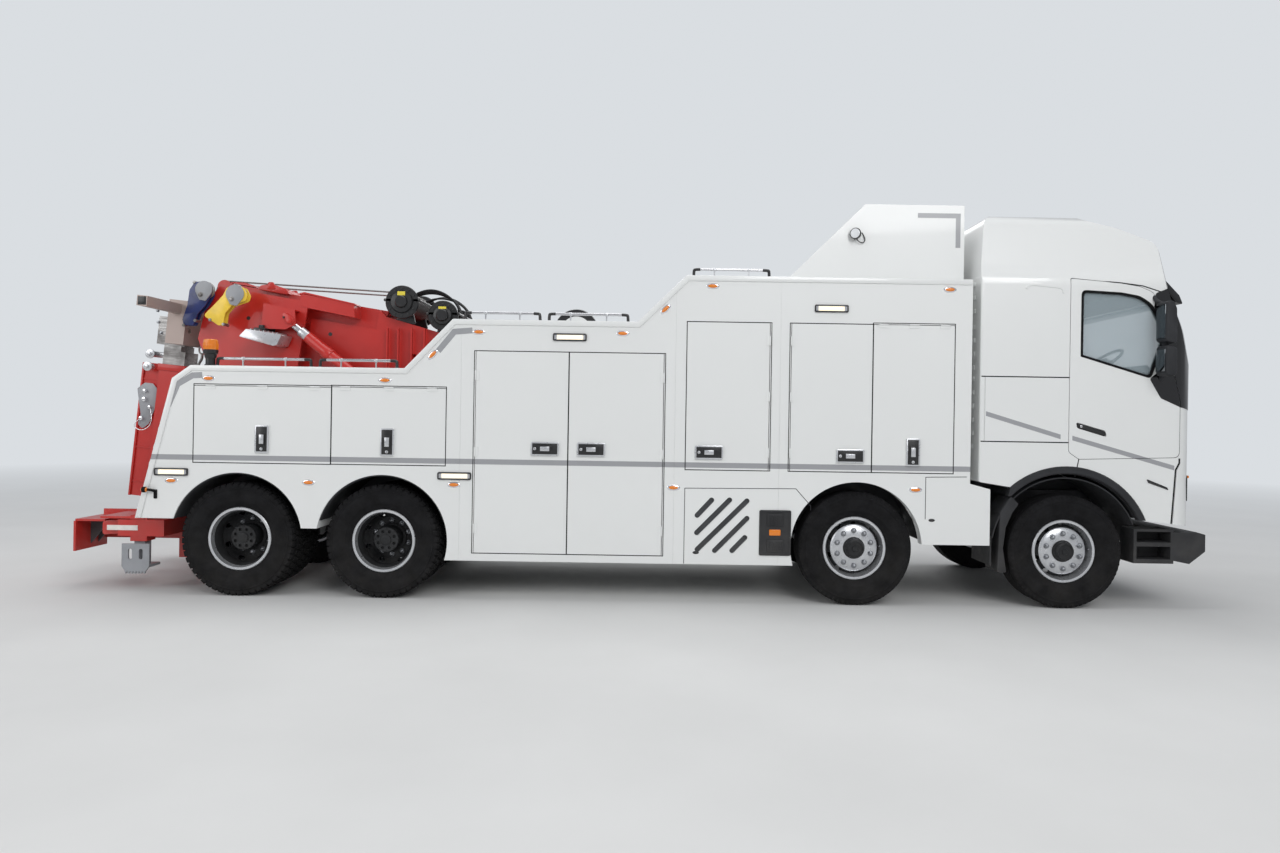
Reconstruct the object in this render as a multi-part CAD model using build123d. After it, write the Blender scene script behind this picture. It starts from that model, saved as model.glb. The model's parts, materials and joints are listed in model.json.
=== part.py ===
from build123d import *
import os
from math import cos, hypot, radians, sin

# Heavy recovery truck: tilting cab, four axles, locker body, lifting boom and a folded underlift.
# Millimetres. +X forwards, +Y to the vehicle's left, +Z up. The ground is Z = 0.
# The origin is on the ground under the middle of the overall box.
# Lengths along the truck are stated from the first axle, because a chassis is laid out that way.

# Seats and running fits
SEAT_GAP = 0.3

# Widths: the locker body stands a little proud of the cab
CAB_HALF = 1245.0
BODY_PROUD = 25.0
HALF_WIDTH = CAB_HALF + BODY_PROUD

# Boom: measured along its own line from its pivot
AXLE_1 = 4122.0
BOOM_PIVOT = (AXLE_1 - 6250, 2420.0)
BOOM_TILT = 9.0
BOOM_LEN = 2250.0
BOOM_TOP = 335.0
BOOM_DEPTH = 270.0
BOOM_HALF = 230.0
BOOM_WALL = 16.0
BOOM_PLAY = 0.5
INNER_REACH = 150.0
CHEEK_Y = 405.0
CHEEK_T = 25.0
BOOM_HEAD_X = BOOM_PIVOT[0] - (BOOM_LEN + INNER_REACH) * cos(radians(BOOM_TILT))

# Tail: it stands behind the boom's head
HEAD_TO_LIFT = 614.55
LIFT_PIVOT = (BOOM_HEAD_X - HEAD_TO_LIFT, 700.0)
POST_REAR = LIFT_PIVOT[0] + 335
TAIL_REAR = LIFT_PIVOT[0] - 339
FOOT_X = POST_REAR - 10

# Axles and wheels
AXLE_SPACING = (1990.0, 4475.0, 1370.0)
AXLES = [AXLE_1]
for spacing in AXLE_SPACING:
    AXLES.append(AXLES[-1] - spacing)
TYRE_R = 538.0
TYRE_W = 315.0
TYRE_FACE_Y = 1240.0
DUAL_PITCH = 350.0
BEAD_R = 286.0
LIP_R = 301.0
RIM_W = 230.0
RIM_WALL = 16.0
DISC_T = 14.0
HUB_Z = TYRE_R
SPINDLE_R = 45.0
KINGPIN_Y = 930.0
KINGPIN_R = 28.0
DRUM_R = 205.0
NUT_CIRCLE_R = 167.5
NUT_R = 17.0
NUT_COUNT = 10

# Chassis
RAIL_OUTER_Y = 430.0
RAIL_FLANGE = 85.0
RAIL_BOTTOM = 760.0
RAIL_DEPTH = 300.0
RAIL_TOP = RAIL_BOTTOM + RAIL_DEPTH
RAIL_WALL = 10.0
RAIL_FRONT = AXLE_1 + 1040
RAIL_REAR = POST_REAR + 140
DECK_REAR = POST_REAR + 300
SUBFRAME_H = 120.0
DECK_Z = RAIL_TOP + SUBFRAME_H
DECK_T = 35.0
SPRING_Y = 500.0
SPRING_W = 80.0

# Locker body
SKIN = 30.0
LOCKER_DEPTH = 670.0
LOCKER_IN_Y = HALF_WIDTH - LOCKER_DEPTH
BODY_FRONT = AXLE_1 - 925
BODY_REAR_LOW = AXLE_1 - 8790
BODY_REAR_HIGH = AXLE_1 - 8456
LEVEL_1 = 2178.0
LEVEL_2 = 2650.0
LEVEL_3 = 3096.0
SILL_MAIN = 375.0
SILL_FRONT = 592.0
SILL_MID = 655.0
SILL_REAR = 730.0
ARCH_R = 620.0
ARCH_Z = 550.0
ARCH_STEER_R = 690.0
ARCH_RIM_W = 120.0
LINER_T = 12.0

# Doors of the lockers: rear edge, front edge, bottom, top, hinged side
DOOR_COLUMNS = ("rear", "front", "bottom", "top", "hinge")
DOORS = (
    (-8246, -6956, 1266, 1985, "top"),
    (-6950, -5876, 1268, 1990, "top"),
    (-5594, -4722, 452, 2350, "rear"),
    (-4716, -3828, 452, 2350, "front"),
    (-3608, -2832, 1268, 2656, "front"),
    (-2624, -1860, 1268, 2656, "rear"),
    (-1854, -1090, 1268, 2656, "top"),
)
DOOR_GAP = 6.0
DOOR_T = 30.0
HINGE_R = 7.0
HINGE_LEN = 90.0
LEAF_T = 5.0
LEAF_W = 34.0
HANDLE_T = 14.0

# Latch plates by their door's rear edge: middle X, middle Z, width, height
HANDLES = {
    -8246: ((-7600, 1490, 130, 260),),
    -6950: ((-6420, 1480, 130, 260),),
    -5594: ((-4935, 1440, 265, 130),),
    -4716: ((-4500, 1440, 265, 130),),
    -3608: ((-3390, 1430, 265, 130),),
    -2624: ((-2060, 1415, 265, 130),),
    -1854: ((-1470, 1460, 130, 260),),
}

# Fittings on the flanks, from the first axle: lamps by middle X and Z, slots end to end, sides of the switch box
FLANK_LAMPS = ((-4716, 2494), (-2255, 2802), (-8451, 1170), (-5784, 1171))
VENT_SLOTS = (((-3341, 998), (-3507, 817)), ((-3171, 1001), (-3510, 654)), ((-3007, 994), (-3503, 497)),
              ((-3005, 830), (-3339, 488)), ((-3023, 649), (-3175, 490)))
SWITCH_BOX = (-2907, -2607, 468, 896)
REAR_LAMPS = (1550.0, 1379.0, 1222.0)
BEACON_X = -8150.0
REEL = (-4688.0, 2584.0, 219.0)

# Cab
CAB_SKIN = 50.0
CAB_REAR = AXLE_1 - 835
CAB_FRONT = AXLE_1 + 1250
CAB_ARCH_R = 745.0
CAB_FLOOR_Z = 1390.0
CAB_EAVES_Z = 3120.0
CAB_ROOF_Z = 3800.0
CAB_PIVOT = (AXLE_1 + 1155, 855.0)
CAB_PIN_R = 20.0
CAB_LUG_Y = 445.0
CAB_LUG_T = 30.0
BUMPER_FACE = AXLE_1 + 1330

# Underlift: folded up at the tail
LIFT_LEAN = 5.5
LIFT_LEN = 1540.0
LIFT_DEPTH = 270.0
LIFT_HALF = 150.0
LIFT_WALL = 18.0
LIFT_PLAY = 0.5
LIFT_SHOW = 215.0
CROSSBAR_HALF = 1070.0
CROSSBAR_SIDE = 100.0
CROSSBAR_WALL = 12.0
BLOCK_HALF = 460.0
BLOCK_T = 190.0
FORK_R = 30.0
FORK_Y = 360.0
FORK_AT = 160.0

# Stabilisers
FOOT_W = 268.0
FOOT_LOW_Z = 158.0
FOOT_Y = 1050.0
LEG_SIDE = 110.0
LEG_Y = FOOT_Y - 120
LEG_GUIDE_Z = 470.0

OUT = "parts"
os.makedirs(OUT, exist_ok=True)


# Plain shapes
def block(x0, x1, y0, y1, z0, z1):
    middle = Pos((x0 + x1) / 2, (y0 + y1) / 2, (z0 + z1) / 2)
    return middle * Box(abs(x1 - x0), abs(y1 - y0), abs(z1 - z0))


def side_prism(points, y0, y1):
    outline = Polyline(*[(x, 0, z) for x, z in points], close=True)
    return Pos(0, min(y0, y1), 0) * extrude(make_face(outline), amount=abs(y1 - y0), dir=(0, 1, 0))


def plan_prism(points, z0, z1):
    outline = Polyline(*[(x, y, 0) for x, y in points], close=True)
    return Pos(0, 0, z0) * extrude(make_face(outline), amount=z1 - z0, dir=(0, 0, 1))


def end_prism(points, x0, x1):
    outline = Polyline(*[(0, y, z) for y, z in points], close=True)
    return Pos(x0, 0, 0) * extrude(make_face(outline), amount=x1 - x0, dir=(1, 0, 0))


def rod_y(x, z, r, y0, y1):
    return Pos(x, (y0 + y1) / 2, z) * Rot(90, 0, 0) * Cylinder(r, abs(y1 - y0))


def rod_z(x, y, r, z0, z1):
    return Pos(x, y, (z0 + z1) / 2) * Cylinder(r, z1 - z0)


def rod_x(y, z, r, x0, x1):
    return Pos((x0 + x1) / 2, y, z) * Rot(0, 90, 0) * Cylinder(r, x1 - x0)


def strut(p, q, y, r):
    a, b = Vector(p[0], y, p[1]), Vector(q[0], y, q[1])
    return extrude(Plane(origin=a, z_dir=b - a) * Circle(r), amount=(b - a).length)


def slot_cut(start, end, r, y0, y1):
    # A slot with round ends, from one end to the other.
    (x0, z0), (x1, z1) = start, end
    run = hypot(x1 - x0, z1 - z0)
    ux, uz = (x1 - x0) / run * r, (z1 - z0) / run * r
    (ax, az), (bx, bz) = (x0 + ux, z0 + uz), (x1 - ux, z1 - uz)
    quad = ((ax - uz, az + ux), (bx - uz, bz + ux), (bx + uz, bz - ux), (ax + uz, az - ux))
    return side_prism(quad, y0, y1) + rod_y(ax, az, r, y0, y1) + rod_y(bx, bz, r, y0, y1)


def turned(profile, x, y, z, side):
    # The profile holds (radius, distance outwards) points, and side is -1 on the right, 1 on the left.
    outline = Polyline(*[(r, out * side, 0) for r, out in profile], close=True)
    return Pos(x, y, z) * revolve(make_face(outline), axis=Axis.Y)


def both_sides(shape):
    return shape + mirror(shape, about=Plane.XZ)


def inset(points, step):
    # Moves each side of a convex or stepped outline inwards by the same step.
    outline = Wire(Polyline(*[(x, z, 0) for x, z in points], close=True).edges())
    shrunk = offset(Face(outline), amount=-step, kind=Kind.INTERSECTION)
    corners = shrunk.face().outer_wire().order_edges()
    return [((e @ 0).X, (e @ 0).Y) for e in corners]


def save(name, *shapes):
    solids = [s for shape in shapes for s in shape.solids()]
    piece = solids[0] if len(solids) == 1 else Compound(children=solids)
    piece.label = name
    export_step(piece, os.path.join(OUT, name + ".step"))


SIDES = (("right", -1), ("left", 1))


# Tyres and rims
def tyre(x, side, middle_y):
    half = TYRE_W / 2
    bead = RIM_W / 2 - RIM_WALL - SEAT_GAP
    one_side = ((BEAD_R, bead), (LIP_R + 3, bead), (LIP_R + 25, half - 22), (BEAD_R + 110, half),
                (TYRE_R - 40, half - 6), (TYRE_R, half - 34))
    profile = one_side + tuple((r, -out) for r, out in reversed(one_side))
    return turned(profile, x, side * middle_y, HUB_Z, side)


def barrel(x, side, middle_y, disc_at, dish):
    # One rim: a barrel with two lips, and a disc at disc_at from its middle, dished towards the barrel by dish.
    w = RIM_W / 2
    r = BEAD_R - SEAT_GAP
    shell = turned(((r - RIM_WALL, -w), (LIP_R, -w), (LIP_R, -w + RIM_WALL), (r, -w + RIM_WALL), (r, w - RIM_WALL),
                    (LIP_R, w - RIM_WALL), (LIP_R, w), (r - RIM_WALL, w)), x, side * middle_y, HUB_Z, side)
    t = DISC_T / 2
    edge = disc_at + dish
    disc = turned(((0, disc_at + t), (205, disc_at + t), (r - 10, edge + t), (r - 10, edge - t),
                   (205, disc_at - t), (0, disc_at - t)), x, side * middle_y, HUB_Z, side)
    return shell + disc


def nuts(x, side, face_y, height):
    ring = None
    for i in range(NUT_COUNT):
        angle = 360 / NUT_COUNT * (i + 0.5)
        nx = x + NUT_CIRCLE_R * cos(radians(angle))
        nz = HUB_Z + NUT_CIRCLE_R * sin(radians(angle))
        nut = rod_y(nx, nz, NUT_R, side * (face_y - 2), side * (face_y + height))
        ring = nut if ring is None else ring + nut
    return ring


FRONT_TYRE_Y = TYRE_FACE_Y - TYRE_W / 2
INNER_TYRE_Y = FRONT_TYRE_Y - DUAL_PITCH
FRONT_DISC = 95.0
REAR_DISC = -(DUAL_PITCH - DISC_T) / 2
DISH = 70.0
HUB_R = 118.0
HUB_SET_BACK = 80.0
REAR_SPINDLE_Y = FRONT_TYRE_Y + REAR_DISC + 60


def front_rim(x, side):
    face = FRONT_TYRE_Y + FRONT_DISC
    body = barrel(x, side, FRONT_TYRE_Y, FRONT_DISC, -DISH)
    drum = rod_y(x, HUB_Z, DRUM_R, side * face, side * (KINGPIN_Y + 90))
    cap = rod_y(x, HUB_Z, 92, side * (face - 2), side * (face + 62))
    bore = rod_y(x, HUB_Z, SPINDLE_R + SEAT_GAP, side * (KINGPIN_Y + 80), side * (face + 20))
    inner = rod_y(x, HUB_Z, DRUM_R - 30, side * (KINGPIN_Y + 80), side * (KINGPIN_Y + 110))
    return body + drum + cap + nuts(x, side, face, 34) - bore - inner


def rear_rim(x, side):
    disc_y = FRONT_TYRE_Y + REAR_DISC
    outer = barrel(x, side, FRONT_TYRE_Y, REAR_DISC, DISH)
    inner = barrel(x, side, INNER_TYRE_Y, -REAR_DISC, -DISH)
    hub_end = FRONT_TYRE_Y + RIM_W / 2 - HUB_SET_BACK
    hub = rod_y(x, HUB_Z, HUB_R, side * (disc_y - 30), side * hub_end)
    drum = rod_y(x, HUB_Z, DRUM_R, side * (INNER_TYRE_Y - 40), side * disc_y)
    bore = rod_y(x, HUB_Z, SPINDLE_R + SEAT_GAP, side * (INNER_TYRE_Y - 60), side * (REAR_SPINDLE_Y + 5))
    return outer + inner + hub + drum + nuts(x, side, disc_y + DISC_T / 2, 40) - bore


def wheels():
    for number, x in enumerate(AXLES, 1):
        for word, side in SIDES:
            if number <= 2:
                save(f"tyre_{number}_{word}", tyre(x, side, FRONT_TYRE_Y))
                save(f"rim_{number}_{word}", front_rim(x, side))
            else:
                save(f"tyre_{number}_{word}", tyre(x, side, FRONT_TYRE_Y), tyre(x, side, INNER_TYRE_Y))
                save(f"rim_{number}_{word}", rear_rim(x, side))


# Steering knuckles
EYE_HALF = 75.0
LUG_T = 45.0
LUG_HALF = 50.0
LUG_REACH = 45.0


def knuckle(x, side):
    y = side * KINGPIN_Y
    pin = rod_z(x, y, KINGPIN_R, HUB_Z - EYE_HALF - LUG_T, HUB_Z + EYE_HALF + LUG_T)
    play = 2 * SEAT_GAP
    top = block(x - LUG_HALF, x + LUG_HALF, side * (KINGPIN_Y - LUG_REACH), side * (KINGPIN_Y + 75),
                HUB_Z + EYE_HALF + play, HUB_Z + EYE_HALF + LUG_T)
    low = block(x - LUG_HALF, x + LUG_HALF, side * (KINGPIN_Y - LUG_REACH), side * (KINGPIN_Y + 75),
                HUB_Z - EYE_HALF - LUG_T, HUB_Z - EYE_HALF - play)
    back = block(x - 60, x + 60, side * (KINGPIN_Y + 62), side * (KINGPIN_Y + 75),
                 HUB_Z - EYE_HALF - LUG_T, HUB_Z + EYE_HALF + LUG_T)
    spindle = rod_y(x, HUB_Z, SPINDLE_R, side * (KINGPIN_Y + 70), side * (FRONT_TYRE_Y + FRONT_DISC - 10))
    return pin + top + low + back + spindle


# Axle beams, springs
def front_axle(x):
    drop = HUB_Z - 130
    eye_y = KINGPIN_Y
    points = ((-eye_y + 40, HUB_Z - 50), (-eye_y + 190, drop - 20), (eye_y - 190, drop - 20),
              (eye_y - 40, HUB_Z - 50), (eye_y - 40, HUB_Z + 50), (eye_y - 190, drop + 90),
              (-eye_y + 190, drop + 90), (-eye_y + 40, HUB_Z + 50))
    beam = end_prism(points, x - 45, x + 45)
    for side in (-1, 1):
        beam += rod_z(x, side * eye_y, 56, HUB_Z - EYE_HALF, HUB_Z + EYE_HALF)
        beam += block(x - 60, x + 60, side * (SPRING_Y - 110), side * (SPRING_Y - 30), drop + 60, drop + 190)
    for side in (-1, 1):
        beam -= rod_z(x, side * eye_y, KINGPIN_R + SEAT_GAP, HUB_Z - 200, HUB_Z + 200)
    for side in (-1, 1):
        beam += leaf_pack(x, side * (SPRING_Y - 70), drop + 190, 1500, SPRING_W)
    return beam


def leaf_pack(x, y, z, length, width):
    pack = None
    for i in range(4):
        half = length / 2 - 130 * (3 - i)
        leaf = block(x - half, x + half, y - width / 2, y + width / 2, z + 18 * i - 1, z + 18 * (i + 1))
        pack = leaf if pack is None else pack + leaf
    for end in (-1, 1):
        ear_x = x + end * (length / 2 - 40)
        pack += block(ear_x - 30, ear_x + 30, y - width / 2, y + width / 2, z + 60, RAIL_BOTTOM - SEAT_GAP)
    return pack


def rear_axles():
    whole = None
    for x in AXLES[2:]:
        tube = rod_y(x, HUB_Z, 88, -INNER_TYRE_Y + 190, INNER_TYRE_Y - 190)
        spindles = rod_y(x, HUB_Z, SPINDLE_R, -REAR_SPINDLE_Y, REAR_SPINDLE_Y)
        bulge = rod_y(x, HUB_Z, 225, -130, 130) + rod_x(0, HUB_Z, 120, x, x + 330)
        axle = tube + spindles + bulge
        whole = axle if whole is None else whole + axle
    middle = (AXLES[2] + AXLES[3]) / 2
    span = AXLES[2] - AXLES[3]
    for side in (-1, 1):
        y0, y1 = side * (SPRING_Y - SPRING_W / 2), side * (SPRING_Y + SPRING_W / 2)
        for i in range(4):
            half = span / 2 + 90 - 120 * i
            z0 = HUB_Z + 86 + 22 * i
            whole += block(middle - half, middle + half, y0, y1, z0 - 1, z0 + 22)
        whole += block(middle - 110, middle + 110, side * (RAIL_OUTER_Y + SEAT_GAP), y1,
                       HUB_Z + 170, RAIL_BOTTOM + 120)
        for x in AXLES[2:]:
            whole += block(x - 60, x + 60, y0, y1, HUB_Z, HUB_Z + 88)
    return whole


# Chassis frame
def chassis():
    inner = RAIL_OUTER_Y - RAIL_FLANGE
    rail = block(RAIL_REAR, RAIL_FRONT, inner, RAIL_OUTER_Y, RAIL_BOTTOM, RAIL_TOP)
    rail -= block(RAIL_REAR - 5, RAIL_FRONT + 5, inner - 5, RAIL_OUTER_Y - RAIL_WALL,
                  RAIL_BOTTOM + RAIL_WALL, RAIL_TOP - RAIL_WALL)
    whole = both_sides(rail)
    for x in (RAIL_FRONT - 60, AXLES[0] - 1180, AXLES[1] - 700, AXLES[1] - 1900, AXLES[1] - 3100,
              AXLES[2] + 560, (AXLES[2] + AXLES[3]) / 2, AXLES[3] - 560):
        whole += block(x - 50, x + 50, -RAIL_OUTER_Y + 5, RAIL_OUTER_Y - 5, RAIL_BOTTOM + 60, RAIL_TOP - 60)
    sub = block(POST_REAR + 200, BODY_FRONT, inner, RAIL_OUTER_Y, RAIL_TOP - 1, DECK_Z - SEAT_GAP)
    px, pz = CAB_PIVOT
    lug = block(RAIL_FRONT - 1, px, RAIL_OUTER_Y - 50, RAIL_OUTER_Y, pz - 15, pz + 45)
    lug += rod_y(px, pz, 33, RAIL_OUTER_Y - 50, RAIL_OUTER_Y)
    lug += rod_y(px, pz, CAB_PIN_R, RAIL_OUTER_Y - 50, CAB_LUG_Y + CAB_LUG_T + 3)
    rest = block(CAB_REAR + 75, CAB_REAR + 135, inner, RAIL_OUTER_Y, RAIL_TOP - 1, CAB_FLOOR_Z - 60 - SEAT_GAP)
    return whole + both_sides(sub + lug + rest)


def engine_block():
    half = RAIL_OUTER_Y - RAIL_FLANGE - SEAT_GAP
    return block(AXLE_1 - 760, AXLE_1 + 560, -half, half, 700, CAB_FLOOR_Z - 90)


# Locker body
BODY_OUTLINE = (
    (BODY_REAR_LOW, SILL_REAR), (BODY_REAR_HIGH, LEVEL_1 - 125), (BODY_REAR_HIGH + 172, LEVEL_1),
    (AXLE_1 - 6270, LEVEL_1), (AXLE_1 - 5820, LEVEL_2), (AXLE_1 - 4080, LEVEL_2), (AXLE_1 - 3622, LEVEL_3),
    (BODY_FRONT, LEVEL_3), (BODY_FRONT, 1172), (BODY_FRONT + 192, 1122), (BODY_FRONT + 192, SILL_FRONT),
    (AXLES[1], SILL_FRONT), (AXLES[1], SILL_MAIN), (AXLES[2], SILL_MAIN), (AXLES[2], SILL_MID),
    (AXLES[3], SILL_MID), (AXLES[3], SILL_REAR),
)


def arches(extra, y0, y1, steered_extra=0.0):
    cut = None
    for number, x in enumerate(AXLES[1:], 2):
        r = ARCH_R + extra + (steered_extra if number == 2 else 0)
        tube = rod_y(x, ARCH_Z, r, y0, y1)
        cut = tube if cut is None else cut + tube
    return cut


# Lockers stand side by side, each with its own end walls: rear end, front end, height of its shelf
LOCKERS = (
    (BODY_REAR_LOW, AXLE_1 - 5735, 1215),
    (AXLE_1 - 5735, AXLE_1 - 3715, None),
    (AXLE_1 - 3715, AXLE_1 - 2728, 1215),
    (AXLE_1 - 2728, BODY_FRONT + 192, 1215),
)
BULKHEAD_T = 15.0


def locker(rear, front, shelf):
    out_y, in_y = HALF_WIDTH, LOCKER_IN_Y
    deep = ARCH_STEER_R - ARCH_R
    x0, x1 = rear + SEAT_GAP, front - SEAT_GAP
    shell = side_prism(BODY_OUTLINE, in_y, out_y) & block(x0, x1, in_y, out_y, SILL_MAIN, LEVEL_3)
    void = side_prism(inset(BODY_OUTLINE, SKIN), in_y + SKIN, out_y - SKIN)
    void &= block(x0 + BULKHEAD_T, x1 - BULKHEAD_T, in_y, out_y, SILL_MAIN, LEVEL_3)
    void -= arches(SKIN, in_y, out_y, deep)
    shell = shell - void
    if shelf:
        low = x0 + 180 if rear == BODY_REAR_LOW else x0 + 1
        shell += block(low, min(x1, BODY_FRONT) - 1, in_y + 1, out_y - 1, shelf, shelf + SKIN)
    shell -= arches(0, in_y - 5, out_y + 5)
    shell -= rod_y(AXLES[1], ARCH_Z, ARCH_STEER_R, in_y - 5, out_y - ARCH_RIM_W)
    for row in DOORS:
        door = dict(zip(DOOR_COLUMNS, row))
        shell -= block(AXLE_1 + door["rear"] - DOOR_GAP, AXLE_1 + door["front"] + DOOR_GAP, out_y - SKIN - 2,
                       out_y + 5, door["bottom"] - DOOR_GAP, door["top"] + DOOR_GAP)
    for x, z in FLANK_LAMPS:
        shell = with_plate(shell, (x - 155, x + 155, z - 32, z + 32), x0, x1)
    shell = with_plate(shell, SWITCH_BOX, x0, x1)
    if x0 < AXLE_1 + VENT_SLOTS[0][0][0] < x1:
        for ends in VENT_SLOTS:
            start, end = [(AXLE_1 + x, z) for x, z in ends]
            shell -= slot_cut(start, end, 25, out_y - SKIN - 5, out_y + 5)
    if rear == BODY_REAR_LOW:
        shell += rear_fittings()
    if not shelf:
        shell += hose_reel()
    return shell


def with_plate(shell, sides, x0, x1):
    # A plate that stands proud of the flank, as far as it lies on this locker.
    near, far, low, top = sides
    start, end = max(AXLE_1 + near, x0 + 1), min(AXLE_1 + far, x1 - 1)
    if end < start + 5:
        return shell
    return shell + block(start, end, HALF_WIDTH - 1, HALF_WIDTH + 8, low, top)


def rear_fittings():
    # Round lamps up the slanted rear edge, and the beacon on the roof above them.
    x, y = AXLE_1 + BEACON_X, HALF_WIDTH - 100
    whole = rod_z(x, y, 42, LEVEL_1 - 1, 2334) + rod_z(x, y, 62, 2333, 2422)
    for z in REAR_LAMPS:
        face = BODY_REAR_LOW + (z - SILL_REAR) * (BODY_REAR_HIGH - BODY_REAR_LOW) / (LEVEL_1 - 125 - SILL_REAR)
        whole += rod_x(HALF_WIDTH - 120, z, 66, face - 26, face + 20)
    return whole


def hose_reel():
    # A reel sunk into the roof of the tall lockers.
    x, z, r = AXLE_1 + REEL[0], REEL[1], REEL[2]
    return rod_y(x, z, r - 29, 765, 915) + rod_y(x, z, r, 765, 777) + rod_y(x, z, r, 903, 915)


def body_shell():
    # Two banks of lockers, and between them the deck with a closed box at its front.
    half = LOCKER_IN_Y - SEAT_GAP
    deck = block(DECK_REAR, BODY_FRONT, -half, half, DECK_Z, DECK_Z + DECK_T)
    box = block(AXLE_1 - 3640, BODY_FRONT, -half, half, DECK_Z + 1, LEVEL_3)
    box -= block(AXLE_1 - 3640 + SKIN, BODY_FRONT - SKIN, -half - 1, half + 1, DECK_Z + DECK_T, LEVEL_3 - SKIN)
    return [both_sides(locker(*row)) for row in LOCKERS] + [deck + box]


def hinge_axis(door):
    # Where a door turns: its line's X or Z, at the edge of its opening, and its Y on the outer face.
    at = {"rear": AXLE_1 + door["rear"] - DOOR_GAP, "front": AXLE_1 + door["front"] + DOOR_GAP,
          "top": door["top"] + DOOR_GAP}[door["hinge"]]
    return at, HALF_WIDTH + HINGE_R + SEAT_GAP


def locker_door(row, side):
    door = dict(zip(DOOR_COLUMNS, row))
    x0, x1 = AXLE_1 + door["rear"], AXLE_1 + door["front"]
    z0, z1 = door["bottom"], door["top"]
    face = HALF_WIDTH
    solid = block(x0, x1, face - DOOR_T, face, z0, z1)
    at, axis_y = hinge_axis(door)
    for share in (0.12, 0.5, 0.88):
        if door["hinge"] == "top":
            middle = x0 + share * (x1 - x0)
            solid += rod_x(axis_y, at, HINGE_R, middle - HINGE_LEN / 2, middle + HINGE_LEN / 2)
            solid += block(middle - HINGE_LEN / 2, middle + HINGE_LEN / 2, face + SEAT_GAP, face + LEAF_T,
                           at - LEAF_W, at)
            solid += block(middle - HINGE_LEN / 2, middle + HINGE_LEN / 2, face - 1, face + LEAF_T,
                           at - LEAF_W, at - DOOR_GAP)
        else:
            middle = z0 + share * (z1 - z0)
            inward = 1 if door["hinge"] == "rear" else -1
            solid += rod_z(at, axis_y, HINGE_R, middle - HINGE_LEN / 2, middle + HINGE_LEN / 2)
            solid += block(at, at + inward * LEAF_W, face + SEAT_GAP, face + LEAF_T, middle - HINGE_LEN / 2,
                           middle + HINGE_LEN / 2)
            solid += block(at + inward * DOOR_GAP, at + inward * LEAF_W, face - 1, face + LEAF_T,
                           middle - HINGE_LEN / 2, middle + HINGE_LEN / 2)
    for hx, hz, wide, high in HANDLES[door["rear"]]:
        solid += block(AXLE_1 + hx - wide / 2, AXLE_1 + hx + wide / 2, face - 1, face + HANDLE_T,
                       hz - high / 2, hz + high / 2)
    return solid if side > 0 else mirror(solid, about=Plane.XZ)


def locker_doors():
    for word, side in SIDES:
        for number, row in enumerate(DOORS, 1):
            save(f"locker_door_{word}_{number}", locker_door(row, side))


def mudguards():
    whole = []
    in_y, out_y = LOCKER_IN_Y, HALF_WIDTH - LINER_T
    for number, x in enumerate(AXLES[1:], 2):
        r = ARCH_STEER_R if number == 2 else ARCH_R
        far = out_y - ARCH_RIM_W - 1 if number == 2 else out_y
        near = in_y + 5
        ring = rod_y(x, ARCH_Z, r - SEAT_GAP, near, far) - rod_y(x, ARCH_Z, r - LINER_T, in_y, far + 5)
        keep = block(x - r - 10, x + r + 10, in_y - 10, out_y + 10, SILL_REAR if number > 2 else SILL_FRONT + 8,
                     ARCH_Z + r + 10)
        whole.append(both_sides(ring & keep))
    return whole


def cab_mudguard():
    x, z = AXLE_1, HUB_Z
    r = CAB_ARCH_R - 40
    ring = rod_y(x, z, r, 640, CAB_HALF - 25) - rod_y(x, z, r - LINER_T, 600, CAB_HALF)
    ring &= block(x - r - 5, x + r - 60, 600, CAB_HALF, z + 120, z + r + 5)
    flap = block(x - r - 4, x - r + 10, 760, CAB_HALF - 30, 395, z + 140)
    arm = block(x - 220, x - 160, RAIL_OUTER_Y + SEAT_GAP, 660, z + r - 60, z + r - 20)
    post = block(x - 220, x - 160, RAIL_OUTER_Y + SEAT_GAP, RAIL_OUTER_Y + 40, RAIL_TOP - 80, z + r - 20)
    return both_sides(ring + flap + arm + post)


# Fairing tower behind the cab
FAIRING_INSET = 270.0
FAIRING_TOP = 3862.0


def top_fairing():
    outer = ((AXLE_1 - 2656, LEVEL_3), (AXLE_1 - 1884, FAIRING_TOP), (BODY_FRONT + 10, FAIRING_TOP),
             (BODY_FRONT + 10, LEVEL_3))
    inner = ((AXLE_1 - 2600, LEVEL_3 - 1), (AXLE_1 - 1872, FAIRING_TOP - SKIN),
             (BODY_FRONT - 10, FAIRING_TOP - SKIN), (BODY_FRONT - 10, LEVEL_3 - 1))
    half = HALF_WIDTH - FAIRING_INSET
    return side_prism(outer, -half, half) - side_prism(inner, -half + SKIN, half - SKIN)


# Hand rails on the locker roofs: rear end, front end, roof height
RAILS = ((-8100, -7180, LEVEL_1), (-7120, -6360, LEVEL_1), (-5740, -5000, LEVEL_2), (-4940, -4160, LEVEL_2),
         (-3566, -2820, LEVEL_3))
RAIL_STAND = 75.0
RAIL_TUBE_R = 13.0


def hand_rails():
    whole = []
    y = HALF_WIDTH - 110
    for rear, front, roof in RAILS:
        x0, x1 = AXLE_1 + rear, AXLE_1 + front
        bar = rod_x(y, roof + RAIL_STAND, RAIL_TUBE_R, x0, x1)
        for x in (x0 + RAIL_TUBE_R, x1 - RAIL_TUBE_R):
            bar += rod_z(x, y, RAIL_TUBE_R, roof + SEAT_GAP, roof + RAIL_STAND + RAIL_TUBE_R)
        whole.append(both_sides(bar))
    return whole


# Boom
BOOM_COS, BOOM_SIN = cos(radians(BOOM_TILT)), sin(radians(BOOM_TILT))


def on_boom(along, up):
    x = BOOM_PIVOT[0] - along * BOOM_COS + up * BOOM_SIN
    z = BOOM_PIVOT[1] + along * BOOM_SIN + up * BOOM_COS
    return (x, z)


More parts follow.
